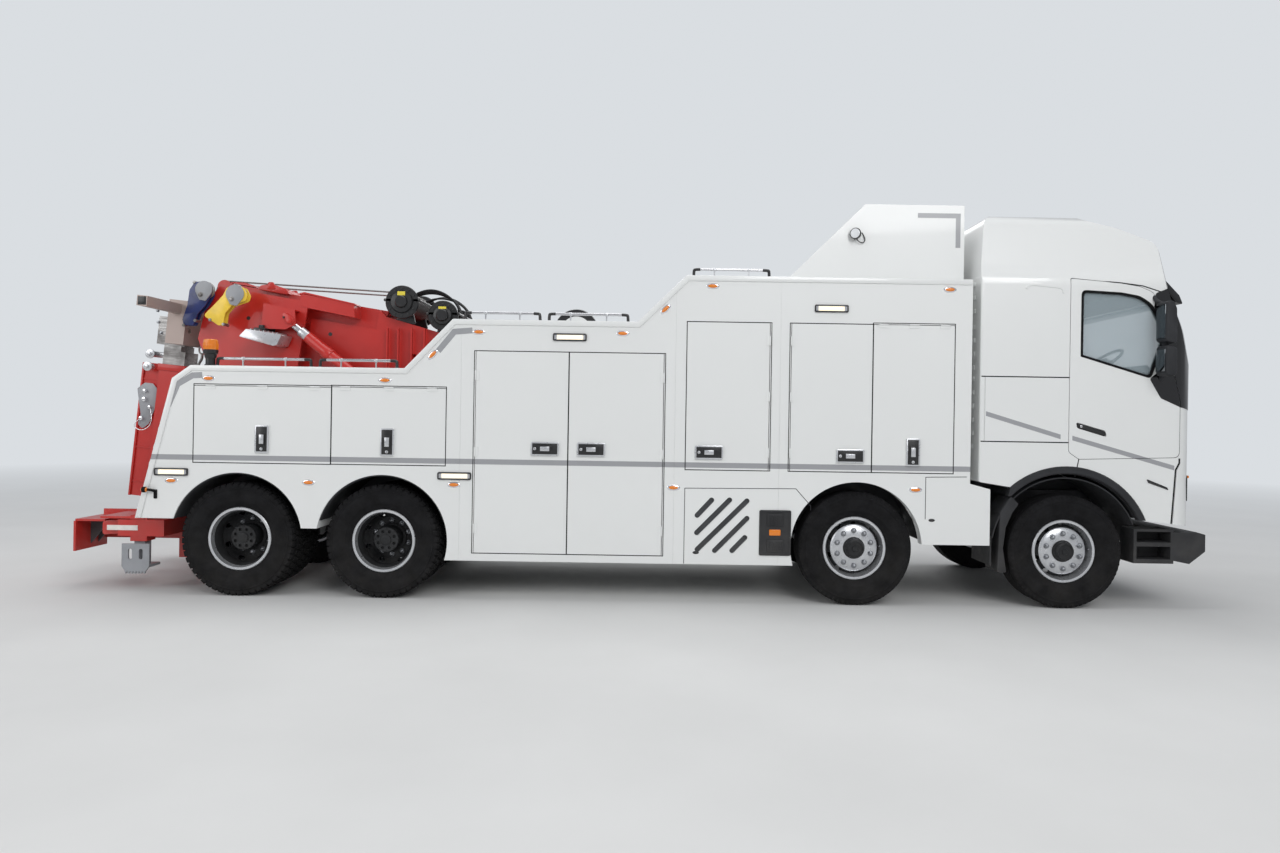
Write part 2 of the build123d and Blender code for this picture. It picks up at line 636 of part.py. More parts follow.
def boom_prism(points, y0, y1):
    return side_prism([on_boom(a, u) for a, u in points], y0, y1)


def boom_rod(along, up, r, y0, y1):
    x, z = on_boom(along, up)
    return rod_y(x, z, r, y0, y1)


BOOM_LOW = BOOM_TOP - BOOM_DEPTH
CHEEK_REACH = 920.0

# Lift cylinders beside the boom: the rod's eye by the boom's line, the foot on the deck, and their plane
EYE_AT = BOOM_LEN - 693
EYE_UP = 88.5
CYLINDER_FOOT = (BOOM_PIVOT[0] + 297, DECK_Z + DECK_T + 85)
CYLINDER_Y = 500.0
# Radius, then start and end as shares of the whole length
CYLINDER_PARTS = ((36.0, 0.0, 0.20), (50.0, 0.115, 0.17), (58.0, 0.155, 1.0))
# Outline of the box round the rod's eye, along and up from the eye
PIVOT_BOX = ((155, -137), (172, 87), (-154, 74), (-189, -72), (-97, -140), (101, -169))


def lift_cylinder():
    (x0, z0), (x1, z1) = on_boom(EYE_AT, EYE_UP), CYLINDER_FOOT
    whole = rod_y(x0, z0, 62, CYLINDER_Y - 38, CYLINDER_Y + 38)
    for r, start, end in CYLINDER_PARTS:
        near = (x0 + (x1 - x0) * start, z0 + (z1 - z0) * start)
        far = (x0 + (x1 - x0) * end, z0 + (z1 - z0) * end)
        whole += strut(near, far, CYLINDER_Y, r)
    whole += rod_y(x1, z1, 70, CYLINDER_Y - 40, CYLINDER_Y + 40)
    return whole + block(x1 - 50, x1 + 50, CYLINDER_Y - 55, CYLINDER_Y + 55, DECK_Z + DECK_T + 39, z1)


def pivot_box():
    # Open below, so that it lifts off the rod's eye: outer plate, top wall and rear wall.
    def about_eye(points):
        return [(EYE_AT + a, EYE_UP + u) for a, u in points]
    near, far = CHEEK_Y + CHEEK_T - 2, CYLINDER_Y + 46
    plate = boom_prism(about_eye(PIVOT_BOX), far - 1, far + 14)
    top = boom_prism(about_eye(((172, 87), (-154, 74), (-154, 62), (172, 75))), near, far)
    rear = boom_prism(about_eye(((172, 87), (160, 87), (143, -137), (155, -137))), near, far)
    return plate + top + rear

# The heel's top edge rises from its front end to the tube
HEEL_FRONT = (-150.0, 188.0)
HEEL_BACK = (560.0, 270.0)


def heel_top(along):
    share = (along - HEEL_FRONT[0]) / (HEEL_BACK[0] - HEEL_FRONT[0])
    return HEEL_FRONT[1] + share * (HEEL_BACK[1] - HEEL_FRONT[1])


def boom_outer():
    tube = boom_prism(((560, BOOM_LOW), (BOOM_LEN, BOOM_LOW), (BOOM_LEN, BOOM_TOP), (560, BOOM_TOP)),
                      -BOOM_HALF, BOOM_HALF)
    w = BOOM_WALL
    tube -= boom_prism(((560 + w, BOOM_LOW + w), (BOOM_LEN + 5, BOOM_LOW + w), (BOOM_LEN + 5, BOOM_TOP - w),
                        (560 + w, BOOM_TOP - w)), -BOOM_HALF + w, BOOM_HALF - w)
    heel = ((HEEL_FRONT[0], -70), HEEL_FRONT, HEEL_BACK, (640, BOOM_TOP - 2), (640, BOOM_LOW + 2), (300, -70))
    plates = boom_prism(heel, BOOM_HALF - w, BOOM_HALF + 40)
    rear = BOOM_LEN - CHEEK_REACH
    cheek = ((BOOM_LEN + 20, BOOM_TOP - 60), (rear, BOOM_TOP - 60), (rear, -520), (BOOM_LEN - 60, -660),
             (BOOM_LEN + 150, -300), (BOOM_LEN + 120, 100))
    sides = boom_prism(cheek, CHEEK_Y, CHEEK_Y + CHEEK_T)
    for along, up in ((rear + 90, BOOM_TOP - 110), (BOOM_LEN - 90, BOOM_TOP - 110), (rear + 90, BOOM_LOW + 40)):
        sides += boom_rod(along, up, 30, BOOM_HALF - 5, CHEEK_Y + 5)
    tube += both_sides(plates) + both_sides(sides)
    belly = ((150, -240), (300, -321), (rear + 5, -484), (rear + 5, 120), (300, 120))
    tube += both_sides(boom_prism(belly, BOOM_HALF - w, BOOM_HALF + 40))
    cover = ((rear - 502, 195), (rear - 473, 330), (rear + 97, 346), (rear + 76, 213))
    tube += both_sides(boom_prism(cover, BOOM_HALF - 1, CHEEK_Y + CHEEK_T + 6) + pivot_box())
    guard = ((rear + 275, BOOM_TOP - 5), (rear + 310, 370), (rear + 460, 396), (rear + 580, 362),
             (rear + 600, BOOM_TOP - 5))
    tube += boom_prism(guard, -300, 300)
    tube += boom_prism(((-80, 170), (550, 246), (550, 266), (-80, 190)), -BOOM_HALF, BOOM_HALF)
    tube -= boom_rod(0, 0, 45 + SEAT_GAP, -BOOM_HALF - 60, BOOM_HALF + 60)
    return tube


def boom_inner():
    gap = BOOM_WALL + BOOM_PLAY
    half = BOOM_HALF - gap
    low, top = BOOM_LOW + gap + 32, BOOM_TOP - gap
    tube = boom_prism(((700, low), (BOOM_LEN + INNER_REACH, low), (BOOM_LEN + INNER_REACH, top), (700, top)),
                      -half, half)
    tube -= boom_prism(((690, low + 12), (BOOM_LEN + INNER_REACH - 40, low + 12),
                        (BOOM_LEN + INNER_REACH - 40, top - 12), (690, top - 12)), -half + 12, half - 12)
    for y in (-half + 60, half - 60):
        tube += boom_rod(BOOM_LEN + 95, top - 25, 75, y - 35, y + 35)
    hood = ((BOOM_LEN - 235, BOOM_TOP + 10), (BOOM_LEN - 220, BOOM_TOP + 27), (BOOM_LEN - 125, BOOM_TOP + 40),
            (BOOM_LEN + 5, BOOM_TOP + 25), (BOOM_LEN + 90, BOOM_TOP - 5), (BOOM_LEN + INNER_REACH - 5, top - 18),
            (BOOM_LEN + 12, top - 18), (BOOM_LEN + 12, BOOM_TOP + 10))
    return tube + boom_prism(hood, -200, 200)


# Winch drums: place along and above the boom's line, and radius
WINCHES = ((398, 446, 168), (-52, 375, 152))


def winches():
    whole = []
    for along, up, r in WINCHES:
        drum = boom_rod(along, up, r - 38, -373, 373) + boom_rod(along, up, r - 60, -420, 420)
        for side in (-1, 1):
            drum += boom_rod(along, up, r, side * 372, side * 400)
        foot = boom_prism(((along - 90, heel_top(along - 90) + SEAT_GAP),
                           (along + 90, heel_top(along + 90) + SEAT_GAP), (along + 40, up), (along - 40, up)),
                          BOOM_HALF - BOOM_WALL + 2, BOOM_HALF + 30)
        whole.append(drum + both_sides(foot))
    return whole


# Hook blocks hung at the boom's head: outlines past the boom's end and above its line
YELLOW_BLOCK = ((-430, 320), (-290, 330), (-210, 215), (5, 20), (-50, -60), (-170, 20), (-220, 120), (-420, 200))
NAVY_BLOCK = ((40, 325), (170, 330), (190, 180), (150, -60), (40, -100), (10, 40), (0, 200))


def hook_blocks():
    whole = []
    for outline, pin, cover, near, far in ((YELLOW_BLOCK, (-330, 240), (-289, 209, 88), 600, 690),
                                           (NAVY_BLOCK, (90, 90), (96, 203, 83), 475, 560)):
        plate = side_prism([on_boom(BOOM_LEN + a, u) for a, u in outline], -far, -near)
        hanger = boom_rod(BOOM_LEN + pin[0], pin[1], 26, -far - 12, -CHEEK_Y - CHEEK_T - SEAT_GAP)
        along, up, r = cover
        whole.append(plate + hanger + boom_rod(BOOM_LEN + along, up, r, -far - 10, -far + 1))
    return whole


# Fixed red steelwork: tower under the boom and the tail
def wrecker_frame():
    px, pz = BOOM_PIVOT
    base = DECK_Z + DECK_T + SEAT_GAP
    plate = ((px - 1200, base), (px + 420, base), (px + 130, pz - 60), (px + 90, pz + 70), (px - 90, pz + 70),
             (px - 400, pz - 360))
    out = BOOM_HALF + 46
    tower = both_sides(side_prism(plate, out, out + 30))
    tower += block(px - 1000, px + 300, -out - 5, out + 5, base, base + 40)
    tower += rod_y(px, pz, 45, -out - 30, out + 30)
    fx = CYLINDER_FOOT[0]
    tower += block(fx - 130, fx + 120, -CYLINDER_Y - 70, CYLINDER_Y + 70, base, base + 40)
    tower += both_sides(lift_cylinder())
    for x in (px - 485, px - 370, px - 230, px - 95):
        tower += both_sides(block(x, x + 16, out + 28, out + 70, 1900, pz + 230))
    post = block(POST_REAR, POST_REAR + 120, 215, 300, 200, 1900)
    bridge = block(POST_REAR, RAIL_REAR, 295, 430, RAIL_BOTTOM, RAIL_TOP)
    tail = both_sides(post + bridge)
    arm = block(TAIL_REAR, RAIL_REAR + 40, 470, 500, 430, 724)
    wing = block(TAIL_REAR, TAIL_REAR + 22, 470, 960, 357, 652)
    tie = block(POST_REAR, RAIL_REAR, 420, 500, 640, 900)
    house = block(FOOT_X - 200, FOOT_X + 250, 480, FOOT_Y - 40, 520, 680)
    guide = block(FOOT_X - LEG_SIDE / 2 - 25, FOOT_X + LEG_SIDE / 2 + 25, LEG_Y - LEG_SIDE / 2 - 20,
                  LEG_Y + LEG_SIDE / 2 + 20, LEG_GUIDE_Z, 722)
    hole_half = LEG_SIDE / 2 + SEAT_GAP
    hole = block(FOOT_X - hole_half, FOOT_X + hole_half, LEG_Y - hole_half, LEG_Y + hole_half, 400, 712)
    tread = block(TAIL_REAR + 10, TAIL_REAR + 300, 499, 950, 651, 672)
    step = block(TAIL_REAR + 300, TAIL_REAR + 720, 499, 1020, 690, 712)
    tail += both_sides(arm + wing + tie + house + guide + tread + step)
    tail -= both_sides(hole)
    return tail, tower


# Underlift
LIFT_COS, LIFT_SIN = cos(radians(LIFT_LEAN)), sin(radians(LIFT_LEAN))


def on_lift(along, ahead):
    x = LIFT_PIVOT[0] + along * LIFT_SIN + ahead * LIFT_COS
    z = LIFT_PIVOT[1] + along * LIFT_COS - ahead * LIFT_SIN
    return (x, z)


def lift_prism(points, y0, y1):
    return side_prism([on_lift(a, u) for a, u in points], y0, y1)


def lift_rod(along, ahead, r, y0, y1):
    x, z = on_lift(along, ahead)
    return rod_y(x, z, r, y0, y1)


def lift_box(a0, a1, u0, u1, half):
    return lift_prism(((a0, u0), (a1, u0), (a1, u1), (a0, u1)), -half, half)


def underlift_carriage():
    px, pz = LIFT_PIVOT
    back = block(POST_REAR - SEAT_GAP - 60, POST_REAR - SEAT_GAP, -300, 300, 560, 1180)
    ears = block(px - 70, POST_REAR - 40, LIFT_HALF + 6, LIFT_HALF + 40, pz - 90, pz + 110)
    whole = back + both_sides(ears) + rod_y(px, pz, 40, -LIFT_HALF - 40, LIFT_HALF + 40)
    return whole


# Latch plates by the rear of the arm, along it and ahead of its line
LATCH_PLATE = ((1321, -293), (1322, -203), (1271, -155), (1091, -145), (885, -201), (823, -265), (873, -320),
               (976, -300), (1251, -366))


def underlift_outer():
    u0, u1 = -LIFT_DEPTH / 2, LIFT_DEPTH / 2
    tube = lift_box(130, LIFT_LEN, u0, u1, LIFT_HALF)
    w = LIFT_WALL
    tube -= lift_box(130 + w, LIFT_LEN + 5, u0 + w, u1 - w, LIFT_HALF - w)
    tube += lift_box(-70, 140, u0 + 40, u1 - 40, LIFT_HALF)
    tube += lift_box(100, LIFT_LEN, u0 - 190, u0 + 1, 90)
    tube += lift_box(100, LIFT_LEN - 5, u0 - 207, u0 - 189, 105)
    tube += both_sides(lift_prism(LATCH_PLATE, 89, 110))
    tube -= lift_rod(0, 0, 40 + SEAT_GAP, -LIFT_HALF - 5, LIFT_HALF + 5)
    return tube


LIFT_TOP = LIFT_LEN + LIFT_SHOW
HEAD_FACE = 72.0
SWIVEL_AT = LIFT_TOP + 190
SWIVEL_R = 32.0


def head_pin(r, u0, u1):
    start, end = on_lift(SWIVEL_AT, u0), on_lift(SWIVEL_AT, u1)
    return strut(start, end, 0, r)


def underlift_inner():
    gap = LIFT_WALL + LIFT_PLAY
    u0, u1 = -LIFT_DEPTH / 2 + gap, LIFT_DEPTH / 2 - gap
    half = LIFT_HALF - gap
    tube = lift_box(220, LIFT_TOP, u0, u1, half)
    tube -= lift_box(215, LIFT_TOP - 80, u0 + 14, u1 - 14, half - 14)
    tube -= lift_box(LIFT_TOP - 62, LIFT_TOP + 5, HEAD_FACE - 6, u1 + 5, half + 5)
    tube += lift_box(LIFT_TOP - 1, LIFT_TOP + 300, u0 - 110, HEAD_FACE, 90)
    tube -= head_pin(SWIVEL_R + SEAT_GAP, u0 - 120, HEAD_FACE + 5)
    return tube


def underlift_crossbar():
    u = HEAD_FACE + SEAT_GAP
    low, front = LIFT_TOP + 325, u + 36
    bar = lift_prism(((low, front), (low + CROSSBAR_SIDE, front), (low + CROSSBAR_SIDE, front + CROSSBAR_SIDE),
                      (low, front + CROSSBAR_SIDE)), -CROSSBAR_HALF, CROSSBAR_HALF)
    bar -= lift_prism(((low + CROSSBAR_WALL, front + CROSSBAR_WALL),
                       (low + CROSSBAR_SIDE - CROSSBAR_WALL, front + CROSSBAR_WALL),
                       (low + CROSSBAR_SIDE - CROSSBAR_WALL, front + CROSSBAR_SIDE - CROSSBAR_WALL),
                       (low + CROSSBAR_WALL, front + CROSSBAR_SIDE - CROSSBAR_WALL)),
                      -CROSSBAR_HALF - 5, CROSSBAR_HALF + 5)
    middle = lift_box(LIFT_TOP + 8, LIFT_TOP + 465, u, u + BLOCK_T, BLOCK_HALF)
    for y in (-FORK_Y, FORK_Y):
        start, end = on_lift(LIFT_TOP + FORK_AT, u - 5), on_lift(LIFT_TOP + FORK_AT, u + BLOCK_T + 5)
        middle -= strut(start, end, y, FORK_R)
    return bar + middle + head_pin(SWIVEL_R, -LIFT_DEPTH / 2 - 60, u + 10)


# Stabilisers
FOOT_TEETH = 7


def foot_outline():
    x0, x1 = FOOT_X - FOOT_W / 2, FOOT_X + FOOT_W / 2
    run = (FOOT_W - 60) / FOOT_TEETH
    points = [(x0, 455), (x0, FOOT_LOW_Z + 75), (x0 + 30, FOOT_LOW_Z + 30)]
    for i in range(FOOT_TEETH):
        start = x0 + 30 + run * i
        points += [(start + run * 0.25, FOOT_LOW_Z), (start + run * 0.6, FOOT_LOW_Z),
                   (start + run * 0.85, FOOT_LOW_Z + 30)]
    return points + [(x1 - 30, FOOT_LOW_Z + 30), (x1, FOOT_LOW_Z + 75), (x1, 455)]


def stabiliser(side):
    y = side * LEG_Y
    leg = block(FOOT_X - LEG_SIDE / 2, FOOT_X + LEG_SIDE / 2, y - LEG_SIDE / 2, y + LEG_SIDE / 2,
                FOOT_LOW_Z + 60, 705)
    foot = side_prism(foot_outline(), side * (FOOT_Y - 20), side * FOOT_Y)
    for x in (FOOT_X - 52, FOOT_X + 52):
        foot -= slot_cut((x, 301), (x, 404), 19, side * (FOOT_Y - 30), side * (FOOT_Y + 10))
    plate = block(FOOT_X - FOOT_W / 2, FOOT_X + FOOT_W / 2, side * (FOOT_Y - 210), side * FOOT_Y,
                  FOOT_LOW_Z + 60, FOOT_LOW_Z + 90)
    return leg + foot + plate


# Bumper and steps
def bumper():
    outline = ((AXLE_1 + 1020, 470), (AXLE_1 + 1180, 440), (BUMPER_FACE, 560), (BUMPER_FACE, 720),
               (AXLE_1 + 1240, 745), (AXLE_1 + 1020, 735))
    bar = side_prism(outline, -CAB_HALF + 20, CAB_HALF - 20)
    bar -= block(AXLE_1 + 1000, AXLE_1 + 1225, -CAB_HALF + 80, CAB_HALF - 80, 430, 715)
    bar += both_sides(block(RAIL_FRONT, AXLE_1 + 1240, 350, 420, 620, 715))
    bar += both_sides(block(RAIL_FRONT, RAIL_FRONT + 30, 350, 420, 620, 800))
    step = block(AXLE_1 + 650, AXLE_1 + 1030, CAB_HALF - 260, CAB_HALF - 20, 440, 765)
    step -= block(AXLE_1 + 680, AXLE_1 + 1000, CAB_HALF - 230, CAB_HALF + 5, 480, 600)
    step -= block(AXLE_1 + 680, AXLE_1 + 1000, CAB_HALF - 230, CAB_HALF + 5, 640, 740)
    return bar + both_sides(step)


# Cab
CAB_SIDE = (
    (CAB_REAR, 1190), (CAB_REAR, 3130), (CAB_REAR + 85, 3700), (CAB_REAR + 210, CAB_ROOF_Z),
    (AXLE_1 + 204, CAB_ROOF_Z - 25), (AXLE_1 + 615, 3650), (AXLE_1 + 944, 3500), (AXLE_1 + 1046, 3030),
    (AXLE_1 + 1160, 2664), (AXLE_1 + 1221, 2261), (AXLE_1 + 1250, 1420), (AXLE_1 + 1250, 1200),
    (AXLE_1 + 1232, 790), (AXLE_1 + 640, 860), (AXLE_1, 860), (AXLE_1 - 500, 1140),
)


def cab_plan(step):
    half, front = CAB_HALF - step, CAB_FRONT - step
    rear = CAB_REAR + step - 5
    side = ((rear, -half), (front - 150, -half), (front - 50, -half + 75), (front, -half + 260))
    return side + tuple((x, -y) for x, y in reversed(side))


def cab_end(step):
    half = CAB_HALF - step
    rise = CAB_EAVES_Z + 30
    return ((-half, 700), (half, 700), (half, rise), (half - 70, rise + 40), (half - 190, CAB_ROOF_Z - step),
            (-half + 190, CAB_ROOF_Z - step), (-half + 70, rise + 40), (-half, rise))


def cab_form(step):
    side = CAB_SIDE if step == 0 else inset(CAB_SIDE, step)
    form = side_prism(side, -CAB_HALF - 5, CAB_HALF + 5)
    form &= plan_prism(cab_plan(step), 700, CAB_ROOF_Z + 5)
    form &= end_prism(cab_end(step), CAB_REAR - 5, CAB_FRONT + 5)
    return form


CAB_DOOR = ((12, 3128), (484, 3086), (665, 3058), (800, 3000), (1060, 1974), (1060, 1450), (110, 1420), (12, 1486))
DOOR_WINDOW = ((122, 2398), (122, 3008), (485, 2990), (660, 2960), (770, 2890), (850, 2750), (897, 2555),
               (770, 2205))


def from_axle(points, dx=0.0, dz=0.0):
    return [(AXLE_1 + x + dx, z + dz) for x, z in points]


GRILLE = (760.0, 1040.0, 1820.0, 7)
VISOR = ((962, 3205), (1110, 3035), (1140, 2965), (1070, 2990), (990, 3080), (925, 3190))
VISOR_HALF = 1075.0
HEADLAMP = ((800, 1000), (1160, 1030), (1185, 1280), (860, 1240))
LIP_KEEP = ((-560, 1060), (-400, 1600), (600, 1600), (840, 848), (300, 848), (-200, 1060))
LIP_W = 67.0
DOOR_HANDLE = ((88, 1758), (352, 1682), (362, 1640), (98, 1718))


def cab_front(shell):
    # Bars set into the grille's recess, the visor, the headlamps and the lips of the arches
    half, low, top, count = GRILLE
    shell -= block(CAB_FRONT - 30, CAB_FRONT + 10, -half, half, low, top)
    pitch = (top - low) / count
    for i in range(count):
        shell += block(CAB_FRONT - 32, CAB_FRONT - 4, -half - 1, half + 1, low + pitch * (i + 0.22),
                       low + pitch * (i + 0.8))
    shell += side_prism(from_axle(VISOR), -VISOR_HALF, VISOR_HALF)
    lamps = end_prism(HEADLAMP, CAB_FRONT - 160, CAB_FRONT - 12)
    lip = rod_y(AXLE_1, HUB_Z, CAB_ARCH_R + LIP_W, CAB_HALF - 4, CAB_HALF + 17)
    lip -= rod_y(AXLE_1, HUB_Z, CAB_ARCH_R + 1, CAB_HALF - 10, CAB_HALF + 20)
    lip &= side_prism(from_axle(LIP_KEEP), CAB_HALF - 10, CAB_HALF + 20)
    return shell + both_sides(lamps) + both_sides(lip)


def cab_shell():
    hollow = cab_form(CAB_SKIN) & block(CAB_REAR, CAB_FRONT, -CAB_HALF, CAB_HALF, CAB_FLOOR_Z, CAB_ROOF_Z)
    shell = cab_form(0) - hollow
    under = block(CAB_REAR + 40, CAB_FRONT - CAB_SKIN, -RAIL_OUTER_Y - 60, RAIL_OUTER_Y + 60,
                  700, CAB_FLOOR_Z - 60)
    shell -= under
    px, pz = CAB_PIVOT
    lug = block(px - 34, CAB_FRONT - CAB_SKIN + 1, CAB_LUG_Y, CAB_LUG_Y + CAB_LUG_T, pz, CAB_FLOOR_Z - 59)
    lug += rod_y(px, pz, 34, CAB_LUG_Y, CAB_LUG_Y + CAB_LUG_T)
    lug -= rod_y(px, pz, CAB_PIN_R + SEAT_GAP, CAB_LUG_Y - 5, CAB_LUG_Y + CAB_LUG_T + 5)
    shell += both_sides(lug)
    shell -= rod_y(AXLE_1, HUB_Z, CAB_ARCH_R, -CAB_HALF - 5, CAB_HALF + 5)
    doorway = inset(from_axle(CAB_DOOR), -DOOR_GAP)
    shell -= both_sides(side_prism(doorway, CAB_HALF - CAB_SKIN - 5, CAB_HALF + 5))
    screen = block(CAB_FRONT - 260, CAB_FRONT + 10, -CAB_HALF + 170, CAB_HALF - 170, 2050, 2960)
    shell -= screen
    shell -= block(CAB_REAR - 10, CAB_REAR + CAB_SKIN + 10, -450, 450, 2300, 2700)
    return cab_front(shell)


def cab_door(side):
    solid = side_prism(from_axle(CAB_DOOR), CAB_HALF - CAB_SKIN, CAB_HALF)
    solid &= plan_prism(cab_plan(0), 700, CAB_ROOF_Z)
    solid &= end_prism(cab_end(0), CAB_REAR, CAB_FRONT)
    solid -= side_prism(from_axle(DOOR_WINDOW), CAB_HALF - CAB_SKIN - 5, CAB_HALF + 5)
    edge = AXLE_1 + CAB_DOOR[4][0] + DOOR_GAP
    for z in (1520, 1900):
        solid += rod_z(edge, CAB_HALF + HINGE_R + SEAT_GAP, HINGE_R, z - 50, z + 50)
        solid += block(edge - LEAF_W, edge, CAB_HALF + SEAT_GAP, CAB_HALF + LEAF_T, z - 50, z + 50)
        solid += block(edge - LEAF_W, edge - DOOR_GAP, CAB_HALF - 1, CAB_HALF + LEAF_T, z - 50, z + 50)
    arm = block(AXLE_1 + 855, AXLE_1 + 890, CAB_HALF - 10, CAB_HALF + 60, 2120, 2280)
    glass = block(AXLE_1 + 790, AXLE_1 + 895, CAB_HALF + 50, CAB_HALF + 215, 2210, 2900)
    solid += arm + glass + side_prism(from_axle(DOOR_HANDLE), CAB_HALF - 1, CAB_HALF + 6)
    return solid if side > 0 else mirror(solid, about=Plane.XZ)


def door_glass(side):
    middle = CAB_HALF - CAB_SKIN / 2
    pane = side_prism(inset(from_axle(DOOR_WINDOW), SEAT_GAP), middle - 4, middle + 4)
    return pane if side > 0 else mirror(pane, about=Plane.XZ)


def cab_glass():
    band = block(CAB_FRONT - 260, CAB_FRONT + 10, -CAB_HALF + 170 + SEAT_GAP, CAB_HALF - 170 - SEAT_GAP,
                 2050 + SEAT_GAP, 2960 - SEAT_GAP)
    screen = (cab_form(18) - cab_form(26)) & band
    back = block(CAB_REAR + 20, CAB_REAR + 28, -450 + SEAT_GAP, 450 - SEAT_GAP, 2300 + SEAT_GAP, 2700 - SEAT_GAP)
    return screen, back


# Steering wheel: its middle from the first axle and above the floor, rim, lean of its plane, and its side of the cab
WHEEL_AT = (590.0, 980.0)
WHEEL_R = 225.0
WHEEL_LEAN = 37.0
DRIVER_Y = -720.0
DASH_TOP = 880.0


def steering_wheel(z):
    x, h = AXLE_1 + WHEEL_AT[0], z + WHEEL_AT[1]
    nx, nz = -sin(radians(WHEEL_LEAN)) * 16, cos(radians(WHEEL_LEAN)) * 16
    near, far = (x - nx, h - nz), (x + nx, h + nz)
    rim = strut(near, far, DRIVER_Y, WHEEL_R)
    rim -= strut((x - 2 * nx, h - 2 * nz), (x + 2 * nx, h + 2 * nz), DRIVER_Y, WHEEL_R - 30)
    hub = strut(near, far, DRIVER_Y, 60) + rod_y(x, h, 13, DRIVER_Y - WHEEL_R + 15, DRIVER_Y + WHEEL_R - 15)
    return rim + hub + strut((x, h), (AXLE_1 + 860, z + 600), DRIVER_Y, 38)


def cab_interior():
    z = CAB_FLOOR_Z + SEAT_GAP
    pieces = []
    for y in (-720, 720):
        base = block(AXLE_1 - 120, AXLE_1 + 380, y - 220, y + 220, z, z + 330)
        cushion = block(AXLE_1 - 140, AXLE_1 + 400, y - 250, y + 250, z + 329, z + 470)
        back = block(AXLE_1 - 240, AXLE_1 - 110, y - 250, y + 250, z + 400, z + 1180)
        pieces.append(base + cushion + back)
    dash = block(AXLE_1 + 790, CAB_FRONT - 110, -1050, 1050, z, z + 560)
    shelf = block(AXLE_1 + 800, CAB_FRONT - 200, -1000, 1000, z + 559, z + DASH_TOP)
    pieces.append(dash + shelf + steering_wheel(z))
    bunk = block(CAB_REAR + CAB_SKIN + SEAT_GAP, AXLE_1 - 260, -1100, 1100, z, z + 420)
    pieces.append(bunk)
    return pieces


def build():
    save("frame", chassis())
    save("engine_block", engine_block())
    save("axles", *[front_axle(x) for x in AXLES[:2]], rear_axles())
    save("body_shell", *body_shell())
    save("mudguards", *mudguards(), cab_mudguard())
    save("top_fairing", top_fairing())
    save("hand_rails", *hand_rails())
    save("wrecker_frame", *wrecker_frame())
    save("bumper", bumper())
    save("boom_outer", boom_outer())
    save("boom_inner", boom_inner())
    save("winches", *winches())
    save("hook_blocks", *hook_blocks())
    save("underlift_carriage", underlift_carriage())
    save("underlift_outer", underlift_outer())
    save("underlift_inner", underlift_inner())
    save("underlift_crossbar", underlift_crossbar())
    for word, side in SIDES:
        save(f"stabiliser_{word}", stabiliser(side))
        save(f"cab_door_{word}", cab_door(side))
        save(f"door_glass_{word}", door_glass(side))
        for number, x in enumerate(AXLES[:2], 1):
            save(f"knuckle_{number}_{word}", knuckle(x, side))
    save("cab_shell", cab_shell())
    save("cab_glass", *cab_glass())
    save("cab_interior", *cab_interior())
    wheels()
    locker_doors()


build()
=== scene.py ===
"""Heavy recovery truck: the finish of each surface, and the fittings that its plain solids leave out."""

import json
import math

import bmesh
import bpy
from bpy.props import FloatProperty, FloatVectorProperty, IntProperty, PointerProperty
from mathutils import Matrix, Vector


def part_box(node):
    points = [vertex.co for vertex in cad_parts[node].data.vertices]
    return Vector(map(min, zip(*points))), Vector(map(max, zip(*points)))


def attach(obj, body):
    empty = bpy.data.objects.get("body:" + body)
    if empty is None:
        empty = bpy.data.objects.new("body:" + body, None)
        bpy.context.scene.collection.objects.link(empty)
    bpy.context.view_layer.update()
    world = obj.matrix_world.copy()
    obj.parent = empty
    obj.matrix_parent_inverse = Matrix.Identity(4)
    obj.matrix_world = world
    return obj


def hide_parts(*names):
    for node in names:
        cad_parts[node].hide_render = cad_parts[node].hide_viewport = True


bl_info = {
    "name": "Heavy recovery truck finish",
    "version": (1, 0, 0),
    "blender": (4, 5, 0),
    "location": "View3D > Sidebar > Recovery truck",
    "description": "Builds the wheels, cab, body fittings, boom gear and finishes around the packed solids",
    "category": "Object",
}

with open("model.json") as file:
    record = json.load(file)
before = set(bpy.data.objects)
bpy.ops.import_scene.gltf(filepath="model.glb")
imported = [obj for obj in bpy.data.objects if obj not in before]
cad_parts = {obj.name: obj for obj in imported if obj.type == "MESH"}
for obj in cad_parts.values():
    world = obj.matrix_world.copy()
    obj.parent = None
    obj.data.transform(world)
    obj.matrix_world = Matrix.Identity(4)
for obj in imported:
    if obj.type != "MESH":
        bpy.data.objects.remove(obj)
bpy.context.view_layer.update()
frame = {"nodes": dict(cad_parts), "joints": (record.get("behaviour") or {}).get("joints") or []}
NODES = frame["nodes"]
SIDES = (("right", -1), ("left", 1))
AXIS = {"X": Vector((1, 0, 0)), "Y": Vector((0, 1, 0)), "Z": Vector((0, 0, 1))}


# Places that come from the frame
def middle(node):
    low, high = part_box(node)
    return (low + high) / 2


def joint_place(name):
    return Vector(next(j for j in frame["joints"] if j["name"] == name)["pos_m"])


